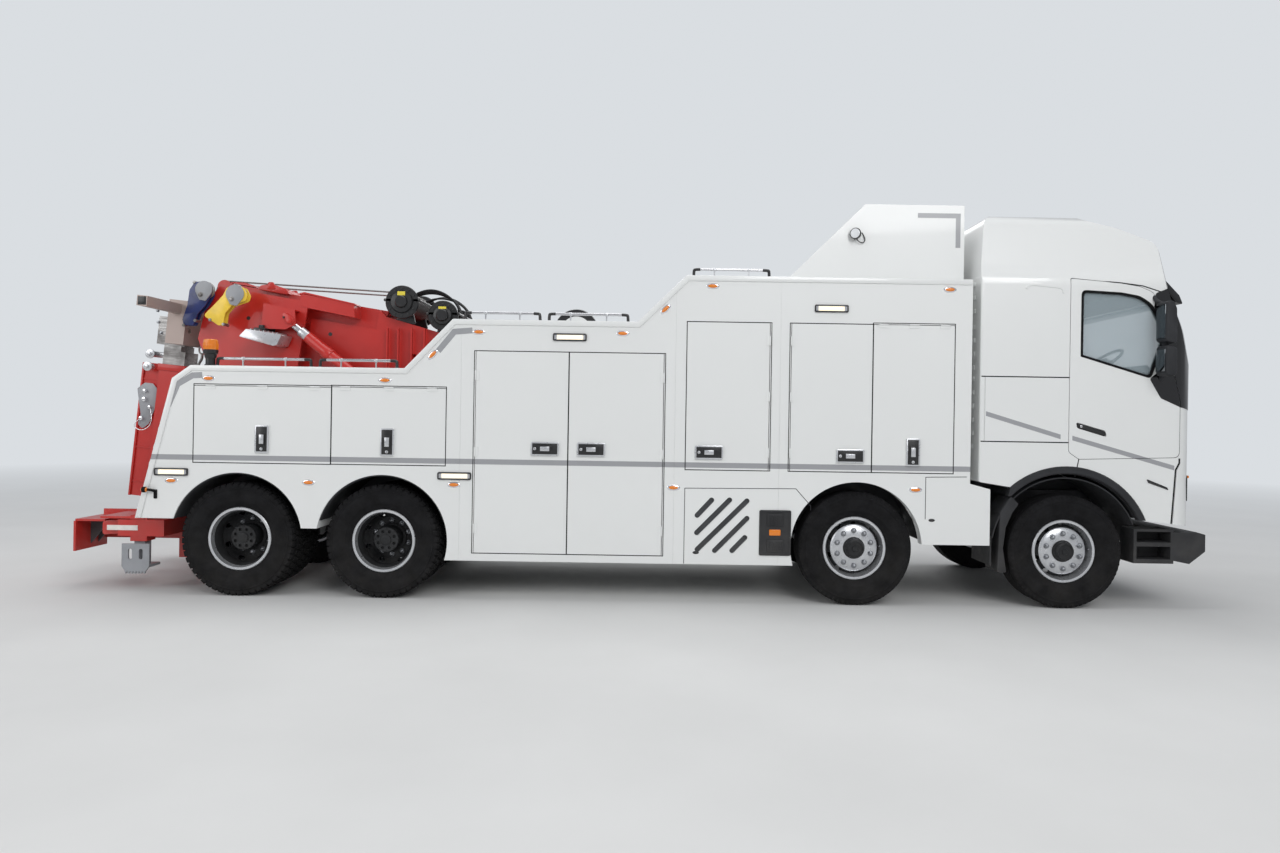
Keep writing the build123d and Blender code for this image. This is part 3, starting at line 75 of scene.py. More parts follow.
AXLES = [middle(f"rim_{n}_right").x for n in (1, 2, 3, 4)]
FIRST = AXLES[0]
HUB_Z = middle("rim_1_right").z
TYRE_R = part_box("tyre_1_right")[1].z - HUB_Z
TYRE_HALF = (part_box("tyre_1_right")[1].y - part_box("tyre_1_right")[0].y) / 2
TYRE_MIDDLE = (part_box("tyre_1_left")[1].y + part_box("tyre_1_left")[0].y) / 2
DUAL_PITCH = 2 * (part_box("tyre_3_left")[1].y - TYRE_HALF - middle("tyre_3_left").y)
LAMP_PLATE = 0.008
LIP_PROUD = 0.017
BODY_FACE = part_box("body_shell")[1].y - LAMP_PLATE
CAB_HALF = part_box("cab_shell")[1].y - LIP_PROUD
CAB_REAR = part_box("cab_shell")[0].x
CAB_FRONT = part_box("cab_shell")[1].x
ROOF_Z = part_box("cab_shell")[1].z
BOOM_PIVOT = joint_place("boom_lift")
LIFT_PIVOT = joint_place("underlift_fold")
BOOM_TILT = math.radians(9.0)
LIFT_LEAN = math.radians(5.5)
EYE = Vector((0.172, -9.31, 1.745))
READ_Y = -0.4


def ahead(x):
    """A place along the truck, stated from the first axle."""
    return FIRST + x


def from_axle(points):
    return [(ahead(x), z) for x, z in points]


def path(*points):
    """Places in space, their lengths stated from the first axle."""
    return [(ahead(x), y, z) for x, y, z in points]


def contour(points, soft, step=0.0, steps=5):
    """An outline stated from the first axle, with its sides moved inwards by a step and its corners softened."""
    line = from_axle(points)
    return softened(inset(line, step) if step else line, soft, steps)


def on_boom(along, up):
    cos, sin = math.cos(BOOM_TILT), math.sin(BOOM_TILT)
    return BOOM_PIVOT.x - along * cos + up * sin, BOOM_PIVOT.z + along * sin + up * cos


def at_plane(points, y):
    """Places read off the photograph beside the boom, moved along the lines of sight to another plane."""
    share = (y - EYE.y) / (READ_Y - EYE.y)
    return [(EYE.x + (ahead(x) - EYE.x) * share, EYE.z + (z - EYE.z) * share) for x, z in points]


def on_lift(along, forward):
    cos, sin = math.cos(LIFT_LEAN), math.sin(LIFT_LEAN)
    return LIFT_PIVOT.x + along * sin + forward * cos, LIFT_PIVOT.z + along * cos - forward * sin


def lift_box(low, high, back, front):
    """A rectangle beside the folded arm, between two places along it and two across it."""
    return [on_lift(a, u) for a, u in ((low, back), (high, back), (high, front), (low, front))]


# Shapes: each returns a bmesh of its own
def pour(target, source, matrix=None):
    """Adds one shape to another, and returns the one that was added to."""
    mesh = bpy.data.meshes.new("part")
    source.to_mesh(mesh)
    if matrix is not None:
        mesh.transform(matrix)
        if matrix.determinant() < 0:
            mesh.flip_normals()
    target.from_mesh(mesh)
    bpy.data.meshes.remove(mesh)
    return target


def together(*shapes):
    whole = bmesh.new()
    for shape in shapes:
        pour(whole, shape)
    return whole


def moved(shape, x=0.0, y=0.0, z=0.0):
    return pour(bmesh.new(), shape, Matrix.Translation((x, y, z)))


def mirrored(shape):
    """The same shape on the other side of the truck's middle plane."""
    return pour(bmesh.new(), shape, Matrix.Scale(-1, 4, (0, 1, 0)))


def both(shape):
    return together(shape, mirrored(shape))


def turn_about(centre, axis, angle):
    there, back = Matrix.Translation(centre), Matrix.Translation(-Vector(centre))
    return there @ Matrix.Rotation(angle, 4, AXIS[axis]) @ back


def turned(shape, centre, axis, angle):
    return pour(bmesh.new(), shape, turn_about(centre, axis, angle))


def around(shape, centre, axis, count, start=0.0):
    """Copies of a shape, evenly turned about a line through centre."""
    whole = bmesh.new()
    for i in range(count):
        pour(whole, shape, turn_about(centre, axis, start + 2 * math.pi * i / count))
    return whole


def rounded(shape, edge, segments=2, angle=0.5):
    """Bevels the edges that turn by more than an angle."""
    if edge > 0:
        sharp = [e for e in shape.edges if len(e.link_faces) == 2 and e.calc_face_angle(0) > angle]
        bmesh.ops.bevel(shape, geom=sharp, offset=edge, offset_type="OFFSET", affect="EDGES",
                        segments=segments, profile=0.5, material=-1, clamp_overlap=True)
    return shape


def slab(x, y, z, edge=0.0, segments=2):
    """A box whose two places along the truck are stated from the first axle."""
    return block((ahead(x[0]), ahead(x[1])), y, z, edge, segments)


def block(x, y, z, edge=0.0, segments=2):
    """A box between three pairs of places."""
    bm = bmesh.new()
    bmesh.ops.create_cube(bm, size=1.0)
    bmesh.ops.scale(bm, vec=[abs(b - a) for a, b in (x, y, z)], verts=bm.verts)
    bmesh.ops.translate(bm, vec=[(a + b) / 2 for a, b in (x, y, z)], verts=bm.verts)
    return rounded(bm, edge, segments)


PLACE = {"X": lambda s, a, b: (s, a, b), "Y": lambda s, a, b: (a, s, b), "Z": lambda s, a, b: (a, b, s)}


def prism(outline, low, high, axis="Y", edge=0.0, segments=2):
    """An outline in the two other axes, drawn out along one axis."""
    bm = bmesh.new()
    face = bm.faces.new([bm.verts.new(PLACE[axis](low, a, b)) for a, b in outline])
    made = bmesh.ops.extrude_face_region(bm, geom=[face])["geom"]
    far = [g for g in made if isinstance(g, bmesh.types.BMVert)]
    bmesh.ops.translate(bm, vec=AXIS[axis] * (high - low), verts=far)
    bmesh.ops.recalc_face_normals(bm, faces=bm.faces)
    return rounded(bm, edge, segments)


def lathe(profile, centre, axis="Y", steps=48, side=1):
    """A profile of (radius, distance along the axis) points, turned all the way round."""
    bm = bmesh.new()
    across = "X" if axis != "X" else "Z"
    points = [bm.verts.new(Vector(centre) + AXIS[across] * r + AXIS[axis] * along * side)
              for r, along in profile]
    edges = [bm.edges.new(pair) for pair in zip(points, points[1:])]
    bmesh.ops.spin(bm, geom=points + edges, cent=centre, axis=AXIS[axis], angle=2 * math.pi,
                   steps=steps, use_merge=True)
    bmesh.ops.remove_doubles(bm, verts=bm.verts, dist=1e-5)
    bmesh.ops.recalc_face_normals(bm, faces=bm.faces)
    return bm


def bar(centre, along, length, r, steps, edge):
    """A round bar about its middle, in line with a vector."""
    bm = bmesh.new()
    bmesh.ops.create_cone(bm, cap_ends=True, segments=steps, radius1=r, radius2=r, depth=length)
    matrix = AXIS["Z"].rotation_difference(along).to_matrix().to_4x4()
    bmesh.ops.transform(bm, matrix=Matrix.Translation(centre) @ matrix, verts=bm.verts)
    return rounded(bm, edge, 2, 1.0)


def rod(centre, axis, r, length, steps=24, edge=0.0):
    return bar(centre, AXIS[axis], length, r, steps, edge)


def strut(start, end, r, steps=20, edge=0.0):
    """A round bar from one point to another."""
    a, b = Vector(start), Vector(end)
    return bar((a + b) / 2, b - a, (b - a).length, r, steps, edge)


def hoop(r, thick, round_steps, centre, axis, steps):
    """A ring of round wire, tube or rope."""
    turn = [math.tau * k / round_steps for k in range(round_steps + 1)]
    return lathe([(r + thick * math.cos(t), thick * math.sin(t)) for t in turn], centre, axis, steps)


def hexagon(centre, axis, across, length, edge=0.0):
    return rod(centre, axis, across / math.sqrt(3), length, 6, edge)


def dome(centre, axis, r, height, steps=20, side=1):
    """A shallow cap on a flat base."""
    rise = [(r * math.cos(t), height * math.sin(t)) for t in (0, 0.35, 0.7, 1.05, 1.35)]
    return lathe([(0, 0), *rise, (0, height)], centre, axis, steps, side)


def pipe(points, r, smooth=True, sides=3):
    """A tube along a line of points."""
    data = bpy.data.curves.new("pipe", "CURVE")
    data.dimensions = "3D"
    data.bevel_depth = r
    data.bevel_resolution = sides
    data.use_fill_caps = True
    data.resolution_u = 6
    spline = data.splines.new("NURBS" if smooth else "POLY")
    spline.points.add(len(points) - 1)
    for point, place in zip(spline.points, points):
        point.co = (*place, 1)
    if smooth:
        spline.order_u = 3
        spline.use_endpoint_u = True
    holder = bpy.data.objects.new("pipe", data)
    mesh = bpy.data.meshes.new_from_object(holder)
    bm = bmesh.new()
    bm.from_mesh(mesh)
    bmesh.ops.remove_doubles(bm, verts=bm.verts, dist=1e-6)
    bpy.data.objects.remove(holder)
    bpy.data.meshes.remove(mesh)
    bpy.data.curves.remove(data)
    return bm


def carve(shape, cutter, operation="DIFFERENCE"):
    """One shape with another cut out of it, or what the two share.

    A hollow form gets its openings before the room inside it. The faces of a closed cavity would be turned round here.
    """
    holders = []
    for source in (shape, cutter):
        mesh = bpy.data.meshes.new("carve")
        bmesh.ops.recalc_face_normals(source, faces=source.faces)
        source.to_mesh(mesh)
        holders.append(bpy.data.objects.new("carve", mesh))
        bpy.context.scene.collection.objects.link(holders[-1])
    cut = holders[0].modifiers.new("carve", "BOOLEAN")
    cut.operation = operation
    cut.solver = "EXACT"
    cut.object = holders[1]
    mesh = bpy.data.meshes.new_from_object(holders[0].evaluated_get(bpy.context.evaluated_depsgraph_get()))
    bm = bmesh.new()
    bm.from_mesh(mesh)
    for holder in holders:
        old = holder.data
        bpy.data.objects.remove(holder)
        bpy.data.meshes.remove(old)
    bpy.data.meshes.remove(mesh)
    return bm


def arc(cx, cy, r, start, end, steps):
    """Points on a circle, in degrees from one angle to another."""
    turn = [math.radians(start + (end - start) * i / steps) for i in range(steps + 1)]
    return [(cx + r * math.cos(t), cy + r * math.sin(t)) for t in turn]


def softened(points, radius, steps=5):
    """An outline with each corner turned into an arc. A radius may be given for each corner."""
    radii = radius if isinstance(radius, (list, tuple)) else [radius] * len(points)
    made = []
    for i, (corner, r) in enumerate(zip(points, radii)):
        here, before, after = Vector(corner), Vector(points[i - 1]), Vector(points[(i + 1) % len(points)])
        u, v = (before - here).normalized(), (after - here).normalized()
        half = u.angle(v) / 2
        reach = min(r / math.tan(half), (before - here).length * 0.49, (after - here).length * 0.49)
        if reach < 1e-5 or math.pi / 2 - half < 0.02:
            made.append(tuple(here))
            continue
        for k in range(steps + 1):
            t = k / steps
            p = (here + u * reach) * (1 - t) ** 2 + here * 2 * t * (1 - t) + (here + v * reach) * t ** 2
            made.append(tuple(p))
    return made


def inset(points, step):
    """An outline with each side moved inwards by one step. The points run anticlockwise or clockwise."""
    area = sum(a[0] * b[1] - b[0] * a[1] for a, b in zip(points, points[1:] + points[:1]))
    hand = 1 if area > 0 else -1
    lines = []
    for a, b in zip(points, points[1:] + points[:1]):
        run = (Vector(b) - Vector(a)).normalized()
        inward = Vector((-run.y, run.x)) * hand * step
        lines.append((Vector(a) + inward, run))
    made = []
    for (p, u), (q, v) in zip(lines[-1:] + lines[:-1], lines):
        cross = u.x * v.y - u.y * v.x
        if abs(cross) < 1e-6:
            made.append(tuple(q))
            continue
        t = ((q.x - p.x) * v.y - (q.y - p.y) * v.x) / cross
        made.append(tuple(p + u * t))
    return made


# Pieces
def piece(name, body, finish, *shapes, replaces=(), smooth=35.0, mirror=False):
    """Makes one finished piece of the object out of shapes."""
    whole = together(*shapes)
    if mirror:
        whole = both(whole)
    mesh = bpy.data.meshes.new(name)
    whole.to_mesh(mesh)
    mesh.polygons.foreach_set("use_smooth", [True] * len(mesh.polygons))
    mesh.set_sharp_from_angle(angle=math.radians(smooth))
    mesh.materials.append(material(finish))
    made = bpy.data.objects.new(name, mesh)
    bpy.context.scene.collection.objects.link(made)
    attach(made, body)
    if replaces:
        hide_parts(*replaces)
    return made


def mirrored_pieces(body, *rows):
    """Pieces on both sides of one body, each a row of name, finish and shapes."""
    for name, finish, *shapes in rows:
        piece(name, body, finish, *shapes, mirror=True)


# Finishes
class Tree:
    """Short hand for building one material's nodes."""

    def __init__(self, name):
        self.made = bpy.data.materials.new(name)
        self.made.use_nodes = True
        self.nodes, self.links = self.made.node_tree.nodes, self.made.node_tree.links
        self.nodes.clear()
        self.place = self.add("ShaderNodeTexCoord").outputs["Object"]
        self.shader = self.add("ShaderNodeBsdfPrincipled")
        out = self.add("ShaderNodeOutputMaterial")
        self.links.new(self.shader.outputs[0], out.inputs["Surface"])

    def add(self, kind, sockets=None, **settings):
        node = self.nodes.new(kind)
        for key, value in settings.items():
            setattr(node, key, value)
        for key, value in (sockets or {}).items():
            if isinstance(value, bpy.types.NodeSocket):
                self.links.new(value, node.inputs[key])
            else:
                node.inputs[key].default_value = value
        return node

    def set(self, **sockets):
        for key, value in sockets.items():
            socket = self.shader.inputs[key.replace("_", " ")]
            if isinstance(value, bpy.types.NodeSocket):
                self.links.new(value, socket)
            else:
                socket.default_value = value

    def math(self, operation, a, b=0.0, c=0.0):
        return self.add("ShaderNodeMath", {0: a, 1: b, 2: c}, operation=operation).outputs[0]

    def noise(self, scale, detail=3.0, stretch=(1, 1, 1)):
        place = self.add("ShaderNodeMapping", {"Vector": self.place, "Scale": stretch}).outputs[0]
        return self.add("ShaderNodeTexNoise", {"Vector": place, "Scale": scale, "Detail": detail}).outputs[0]

    def ranged(self, value, low, high, start=0.3, end=0.7):
        sockets = {"Value": value, "From Min": start, "From Max": end, "To Min": low, "To Max": high}
        return self.add("ShaderNodeMapRange", sockets).outputs[0]

    def mix(self, share, a, b):
        sockets = {0: share, 6: a, 7: b}
        return self.add("ShaderNodeMix", sockets, data_type="RGBA").outputs[2]

    def bump(self, height, strength, distance):
        sockets = {"Height": height, "Strength": strength, "Distance": distance}
        return self.add("ShaderNodeBump", sockets).outputs[0]

    def band(self, value, middle_at, half):
        """1 where a value lies within half of a place, and 0 elsewhere."""
        return self.math("COMPARE", value, middle_at, half)


def shade(colour, factor):
    return (*[min(1.0, c * factor) for c in colour[:3]], 1.0)


# Each finish: colour, roughness, metal, clear coat, colour spread, size of its clouds, grain scale, grain height
LOOKS = {
    "white": ((0.8, 0.81, 0.8), 0.28, 0.0, 0.6, 0.008, 0.6, 900, 0.006),
    "red": ((0.52, 0.02, 0.014), 0.36, 0.0, 0.25, 0.06, 3.0, 700, 0.02),
    "yellow": ((0.85, 0.58, 0.05), 0.38, 0.0, 0.3, 0.1, 12.0, 500, 0.03),
    "navy": ((0.012, 0.024, 0.12), 0.33, 0.0, 0.3, 0.25, 12.0, 500, 0.03),
    "black": ((0.012, 0.012, 0.013), 0.36, 0.0, 0.2, 0.2, 6.0, 600, 0.03),
    "gloss_black": ((0.006, 0.006, 0.007), 0.1, 0.0, 0.5, 0.1, 6.0, 300, 0.0),
    "plastic": ((0.03, 0.031, 0.034), 0.52, 0.0, 0.0, 0.2, 5.0, 1400, 0.12),
    "grey_plastic": ((0.1, 0.105, 0.11), 0.5, 0.0, 0.0, 0.15, 5.0, 1400, 0.12),
    "chassis": ((0.055, 0.057, 0.062), 0.5, 0.0, 0.1, 0.25, 4.0, 500, 0.05),
    "rubber": ((0.009, 0.009, 0.01), 0.78, 0.0, 0.0, 0.35, 9.0, 700, 0.12),
    "silver": ((0.62, 0.63, 0.65), 0.3, 0.75, 0.2, 0.06, 8.0, 900, 0.02),
    "chrome": ((0.8, 0.8, 0.82), 0.1, 1.0, 0.0, 0.05, 9.0, 300, 0.0),
    "mirror": ((0.16, 0.17, 0.18), 0.04, 1.0, 0.0, 0.02, 9.0, 300, 0.0),
    "nut_steel": ((0.34, 0.35, 0.37), 0.32, 1.0, 0.0, 0.12, 40.0, 800, 0.02),
    # The hub finish is also painted shade on the wheel discs and on a thin sheet inside the driven wells
    "hub": ((0.026, 0.027, 0.029), 0.45, 0.2, 0.0, 0.25, 12.0, 600, 0.06),
    "primer": ((0.2, 0.185, 0.175), 0.62, 0.0, 0.0, 0.18, 10.0, 350, 0.1),
    "grey_paint": ((0.3, 0.31, 0.33), 0.38, 0.0, 0.2, 0.08, 6.0, 600, 0.03),
    "label": ((0.8, 0.66, 0.06), 0.5, 0.0, 0.0, 0.05, 20.0, 300, 0.0),
    "pale_label": ((0.78, 0.74, 0.7), 0.45, 0.0, 0.0, 0.05, 20.0, 300, 0.0),
    "seat": ((0.06, 0.062, 0.068), 0.85, 0.0, 0.0, 0.2, 20.0, 1600, 0.25),
    "headliner": ((0.1, 0.105, 0.115), 0.9, 0.0, 0.0, 0.08, 12.0, 1800, 0.2),
    "hose": ((0.014, 0.014, 0.015), 0.48, 0.0, 0.0, 0.2, 30.0, 900, 0.1),
    "stripe": ((0.34, 0.345, 0.36), 0.32, 0.0, 0.4, 0.03, 6.0, 600, 0.0),
}
# Refractive index of the finishes that shine less than paint
DULL = {"rubber": 1.22, "plastic": 1.3, "chassis": 1.35, "hub": 1.28, "hose": 1.35, "seat": 1.25}
LENSES = {
    "amber": ((0.8, 0.22, 0.01), 0.12),
    "red_lens": ((0.7, 0.02, 0.02), 0.2),
    "lamp": ((1.0, 0.86, 0.62), 0.85),
    "clear_lens": ((0.82, 0.84, 0.86), 0.05),
}
# The share of road dust on the finishes that take it, from the ground up
ROAD_DUST = {"white": 0.04, "red": 0.18, "plastic": 0.18, "grey_plastic": 0.18, "chassis": 0.18, "rubber": 0.05,
             "hub": 0.08}
DUST_COLOUR = (0.26, 0.24, 0.21, 1)
PAINT_INDEX = 1.5


def chosen(name):
    """The base colour that the user's settings hold for a finish."""
    return getattr(bpy.context.scene.recovery_colours, name)


def painted_look(name):
    _, rough, metal, coat, spread, cloud, grain, height = LOOKS[name]
    colour = chosen(name)
    tree = Tree(name)
    clouds = tree.noise(cloud)
    base = tree.mix(tree.ranged(clouds, 0, 1), shade(colour, 1 - spread), shade(colour, 1 + spread))
    if name == "white":
        base = with_stripes(tree, base)
    if name in ROAD_DUST:
        base = with_road_dust(tree, base, ROAD_DUST[name])
    change = 0.0 if name == "white" else 0.13
    roughness = tree.ranged(tree.noise(cloud * 5), rough * (1 - change), rough * (1 + change))
    tree.set(Base_Color=base, Roughness=roughness, Metallic=metal, Coat_Weight=coat, Coat_Roughness=0.06,
             IOR=DULL.get(name, PAINT_INDEX))
    if height:
        tree.set(Normal=tree.bump(tree.noise(grain, 2.0), height * 4, 0.0006))
    return tree.made


def with_road_dust(tree, base, most):
    """Pale dust that thickens towards the ground, in patches."""
    height = tree.add("ShaderNodeSeparateXYZ", {0: tree.place}).outputs[2]
    low = tree.ranged(height, 1.0, 0.0, 0.15, 1.1)
    patches = tree.ranged(tree.noise(7.0, 5.0), 0.2, 1.0)
    share = tree.math("MULTIPLY", tree.math("MULTIPLY", low, patches), most)
    return tree.mix(share, base, DUST_COLOUR)


# Grey stripe along the body, then the slanted one on the cab
BODY_STRIPE = {"z": 1.309, "half": 0.025, "front": -0.92}
CAB_STRIPES = (((-0.776, 1.837), (-0.067, 1.627)), ((0.044, 1.618), (1.012, 1.349)))
CAB_STRIPE_HALF, CAB_STRIPE_OUT = 0.022, 1.05


def with_stripes(tree, base):
    parts = tree.add("ShaderNodeSeparateXYZ", {0: tree.place}).outputs
    x, z, out = tree.math("SUBTRACT", parts[0], FIRST), parts[2], tree.math("ABSOLUTE", parts[1])
    on_body = tree.band(z, BODY_STRIPE["z"], BODY_STRIPE["half"])
    on_body = tree.math("MULTIPLY", on_body, tree.math("LESS_THAN", x, BODY_STRIPE["front"]))
    mask = tree.math("MULTIPLY", on_body, tree.math("GREATER_THAN", out, BODY_FACE - 0.004))
    for (x0, z0), (x1, z1) in CAB_STRIPES:
        slope = (z1 - z0) / (x1 - x0)
        line = tree.math("MULTIPLY_ADD", x, slope, z0 - slope * x0)
        near = tree.band(tree.math("SUBTRACT", z, line), 0.0, CAB_STRIPE_HALF)
        near = tree.math("MULTIPLY", near, tree.band(x, (x0 + x1) / 2, (x1 - x0) / 2))
        near = tree.math("MULTIPLY", near, tree.math("GREATER_THAN", out, CAB_STRIPE_OUT))
        mask = tree.math("MAXIMUM", mask, near)
    return tree.mix(mask, base, shade(chosen("stripe"), 1.0))


# Bare steels: dark and light colour, metal, roughness from and to, scale of the streaks, height of the scratches
STEELS = {
    "steel": ((0.17, 0.16, 0.155, 1), (0.47, 0.46, 0.45, 1), 0.85, 0.28, 0.55, 30.0, 0.15),
    "tube": ((0.58, 0.58, 0.6, 1), (0.72, 0.72, 0.74, 1), 1.0, 0.14, 0.26, 60.0, 0.04),
}


def steel_look(name):
    """Bare steel: rolling streaks, dark scale patches and fine scratches. The tube is bright and brushed."""
    dark, light, metal, bright, dull, scale, height = STEELS[name]
    tree = Tree(name)
    streaks = tree.noise(scale, 4.0, (0.3, 1, 3))
    patches = tree.ranged(tree.noise(6.0, 6.0), 0, 1, 0.35, 0.62)
    base = tree.mix(patches, dark, light)
    base = tree.mix(tree.ranged(streaks, 0, 0.5), base, shade(dark, 0.7))
    tree.set(Base_Color=base, Metallic=metal, Roughness=tree.ranged(streaks, bright, dull),
             Normal=tree.bump(tree.noise(260, 3.0, (0.4, 1, 2)), height, 0.0006))
    return tree.made


def rope_look(name):
    """Twisted wire rope: slanted strands across its length."""
    tree = Tree(name)
    strands_and_groove_shade = tree.add("ShaderNodeTexWave", {"Vector": tree.place, "Scale": 42.0, "Distortion": 0.6},
                    bands_direction="DIAGONAL").outputs[1]
    # Dark in the grooves and light on the strands' crowns: painted shade
    base = tree.mix(strands_and_groove_shade, (0.07, 0.068, 0.065, 1), (0.34, 0.33, 0.32, 1))
    tree.set(Base_Color=base, Metallic=0.8, Roughness=0.45, Normal=tree.bump(strands_and_groove_shade, 0.6, 0.002))
    return tree.made


def lens_look(name):
    """A moulded lens: ribs under a glossy face, faintly lit from inside."""
    colour, light = LENSES[name]
    tree = Tree(name)
    ribs = tree.add("ShaderNodeTexWave", {"Vector": tree.place, "Scale": 60.0}).outputs[1]
    # The ribs' grooves are a quarter darker: painted shade
    base = tree.mix(ribs, shade(colour, 0.75), shade(colour, 1.0))
    tree.set(Base_Color=base, Roughness=0.12, Coat_Weight=0.6, Emission_Color=(*colour, 1),
             Emission_Strength=light, Normal=tree.bump(ribs, 0.3, 0.002))
    return tree.made


def glass_look(name):
    tree = Tree(name)
    film = tree.noise(2.0, 2.0)
    base = tree.mix(tree.ranged(film, 0, 1), (0.8, 0.9, 0.93, 1), (0.84, 0.93, 0.95, 1))
    tree.set(Base_Color=base, Roughness=0.0, Transmission_Weight=1.0, IOR=1.12)
    return tree.made


SPECIAL = {"steel": steel_look, "tube": steel_look, "rope": rope_look, "glass": glass_look}


def material(name):
    """The finish of that name, made when it is first asked for."""
    made = bpy.data.materials.get(name)
    if made:
        return made
    if name in LENSES:
        return lens_look(name)
    return SPECIAL.get(name, painted_look)(name)


# Solids that stay, and the finish each one takes
KEPT = {
    "white": ("body_shell", "top_fairing", "cab_shell"),
    "plastic": ("mudguards", "bumper"),
    "chassis": ("frame", "engine_block", "axles"),
    "tube": ("hand_rails",),
    "red": ("wrecker_frame", "boom_outer", "boom_inner", "underlift_outer", "underlift_carriage"),
    "steel": ("underlift_inner",),
    "primer": ("underlift_crossbar",),
    "black": ("winches",),
    "yellow": ("hook_blocks",),
    "glass": ("cab_glass",),
    "seat": ("cab_interior",),
}
KEPT_PAIRS = {"white": ("locker_door_", "cab_door_"), "glass": ("door_glass_",), "chassis": ("knuckle_",),
              "grey_paint": ("stabiliser_",)}


def dress(node, finish, edge=0.0):
    """Gives a solid its finish. Its edges are eased by a modifier, which leaves its mesh alone."""
    solid = NODES[node]
    solid.data.materials.clear()
    solid.data.materials.append(material(finish))
    if edge:
        weld = solid.modifiers.new("weld", "WELD")
        weld.merge_threshold = 0.0001
        ease = solid.modifiers.new("ease", "BEVEL")
        ease.width = edge
        ease.segments = 2
        ease.limit_method = "ANGLE"
        ease.angle_limit = math.radians(50)


def make_solids(sizes):
    for finish, names in KEPT.items():
        for name in names:
            dress(name, finish, sizes.edge if finish in ("white", "red", "primer", "plastic") else 0)
    for finish, starts in KEPT_PAIRS.items():
        for name in sorted(NODES):
            if name.startswith(starts):
                dress(name, finish, sizes.edge / 2 if name.startswith("locker_door") else 0)


# Tyres
SIDEWALL = ((0.288, 0.099), (0.3, 0.104), (0.312, 0.121), (0.322, 0.126), (0.335, 0.134), (0.36, 0.148),
            (0.364, 0.1495), (0.368, 0.149), (0.4, 0.1555), (0.44, 0.157), (0.47, 0.1545), (0.474, 0.157),
            (0.479, 0.157), (0.483, 0.153), (0.5, 0.149), (0.512, 0.146))
GROOVES = (0.03, 0.082)
GROOVE_HALF = 0.006
TREAD_DEPTH = 0.016


def tyre_profile(ribbed):
    """Half the section from bead to crown, then its mirror image."""
    crown = TYRE_R if ribbed else TYRE_R - TREAD_DEPTH
    half = list(SIDEWALL) + [(crown - 0.012, 0.14), (crown - 0.003, 0.13)]
    if ribbed:
        for y in reversed(GROOVES):
            half += [(crown, y + GROOVE_HALF), (crown - TREAD_DEPTH, y + GROOVE_HALF * 0.6),
                     (crown - TREAD_DEPTH, y - GROOVE_HALF * 0.6), (crown, y - GROOVE_HALF)]
    else:
        half += [(crown, 0.11), (crown, 0.05)]
    whole = half + [(r, -y) for r, y in reversed(half)]
    return whole + [whole[0]]


def lug(y, width, length, angle):
    """One block of tread on the crown of a wheel whose hub is the origin."""
    base, top = TYRE_R - TREAD_DEPTH - 0.006, TYRE_R - abs(y) * 0.035
    shape = block((-length / 2, length / 2), (y - width / 2, y + width / 2), (base, top), 0.003, 1)
    return turned(shape, (0, y, 0), "Z", angle)


# Each row of blocks: place across the tyre, width, share of the pitch, slant, and how far it is turned on
TREAD_ROWS = ((0.111, 0.06, 0.78, 0.12, 0.0), (0.037, 0.062, 0.76, -0.35, 0.5), (-0.037, 0.062, 0.76, -0.35, 0.15),
              (-0.111, 0.06, 0.78, 0.12, 0.6))


def driven_tread(count):
    """Four staggered rows of blocks, with long shoulder lugs that reach down the sidewall."""
    pitch = 2 * math.pi * TYRE_R / count
    step = 2 * math.pi / count
    whole = bmesh.new()
    for y, width, share, slant, shift in TREAD_ROWS:
        row = lug(y, width, pitch * share, slant)
        pour(whole, around(row, (0, 0, 0), "Y", count, step * shift))
    for side, shift in ((1, 0.0), (-1, 0.6)):
        rib = block((-pitch * 0.38, pitch * 0.38), (side * 0.128, side * 0.153), (TYRE_R - 0.052, TYRE_R - 0.014),
                    0.004, 1)
        pour(whole, around(rib, (0, 0, 0), "Y", count, step * shift))
    return whole


def steered_tread(count):
    """Fine cuts along the shoulders of a ribbed tyre stand as small raised keys."""
    key = block((-0.011, 0.011), (0.131, 0.15), (TYRE_R - 0.042, TYRE_R - 0.01), 0.003, 1)
    return together(around(key, (0, 0, 0), "Y", count), around(mirrored(key), (0, 0, 0), "Y", count, 0.03))


def make_tyres(sizes):
    shapes = {}
    for driven in (False, True):
        carcass = lathe(tyre_profile(not driven), (0, 0, 0), "Y", 96)
        shapes[driven] = together(carcass, driven_tread(sizes.lugs) if driven else steered_tread(sizes.lugs + 16))
    for number, x in enumerate(AXLES, 1):
        for word, side in SIDES:
            driven = number > 2
            places = [TYRE_MIDDLE] + ([TYRE_MIDDLE - DUAL_PITCH] if driven else [])
            rubber = [moved(shapes[driven], x, side * y, HUB_Z) for y in places]
            piece(f"tyre_{number}_{word}_tread", f"wheel_{number}_{word}", "rubber", *rubber,
                  replaces=(f"tyre_{number}_{word}",), smooth=32)


# Rims
LIP_R = 0.301
BEAD_R = 0.286
RIM_HALF = 0.115
DISC_R = 0.27
NUT_CIRCLE_R = 0.1675
NUT_START = 0.3
FRONT_FACE = 0.095
DUAL_FACE = -0.168


def wheel_part(profile, steps, side):
    """A profile turned about the middle of a wheel."""
    return lathe(profile, (0, 0, 0), "Y", steps, side)


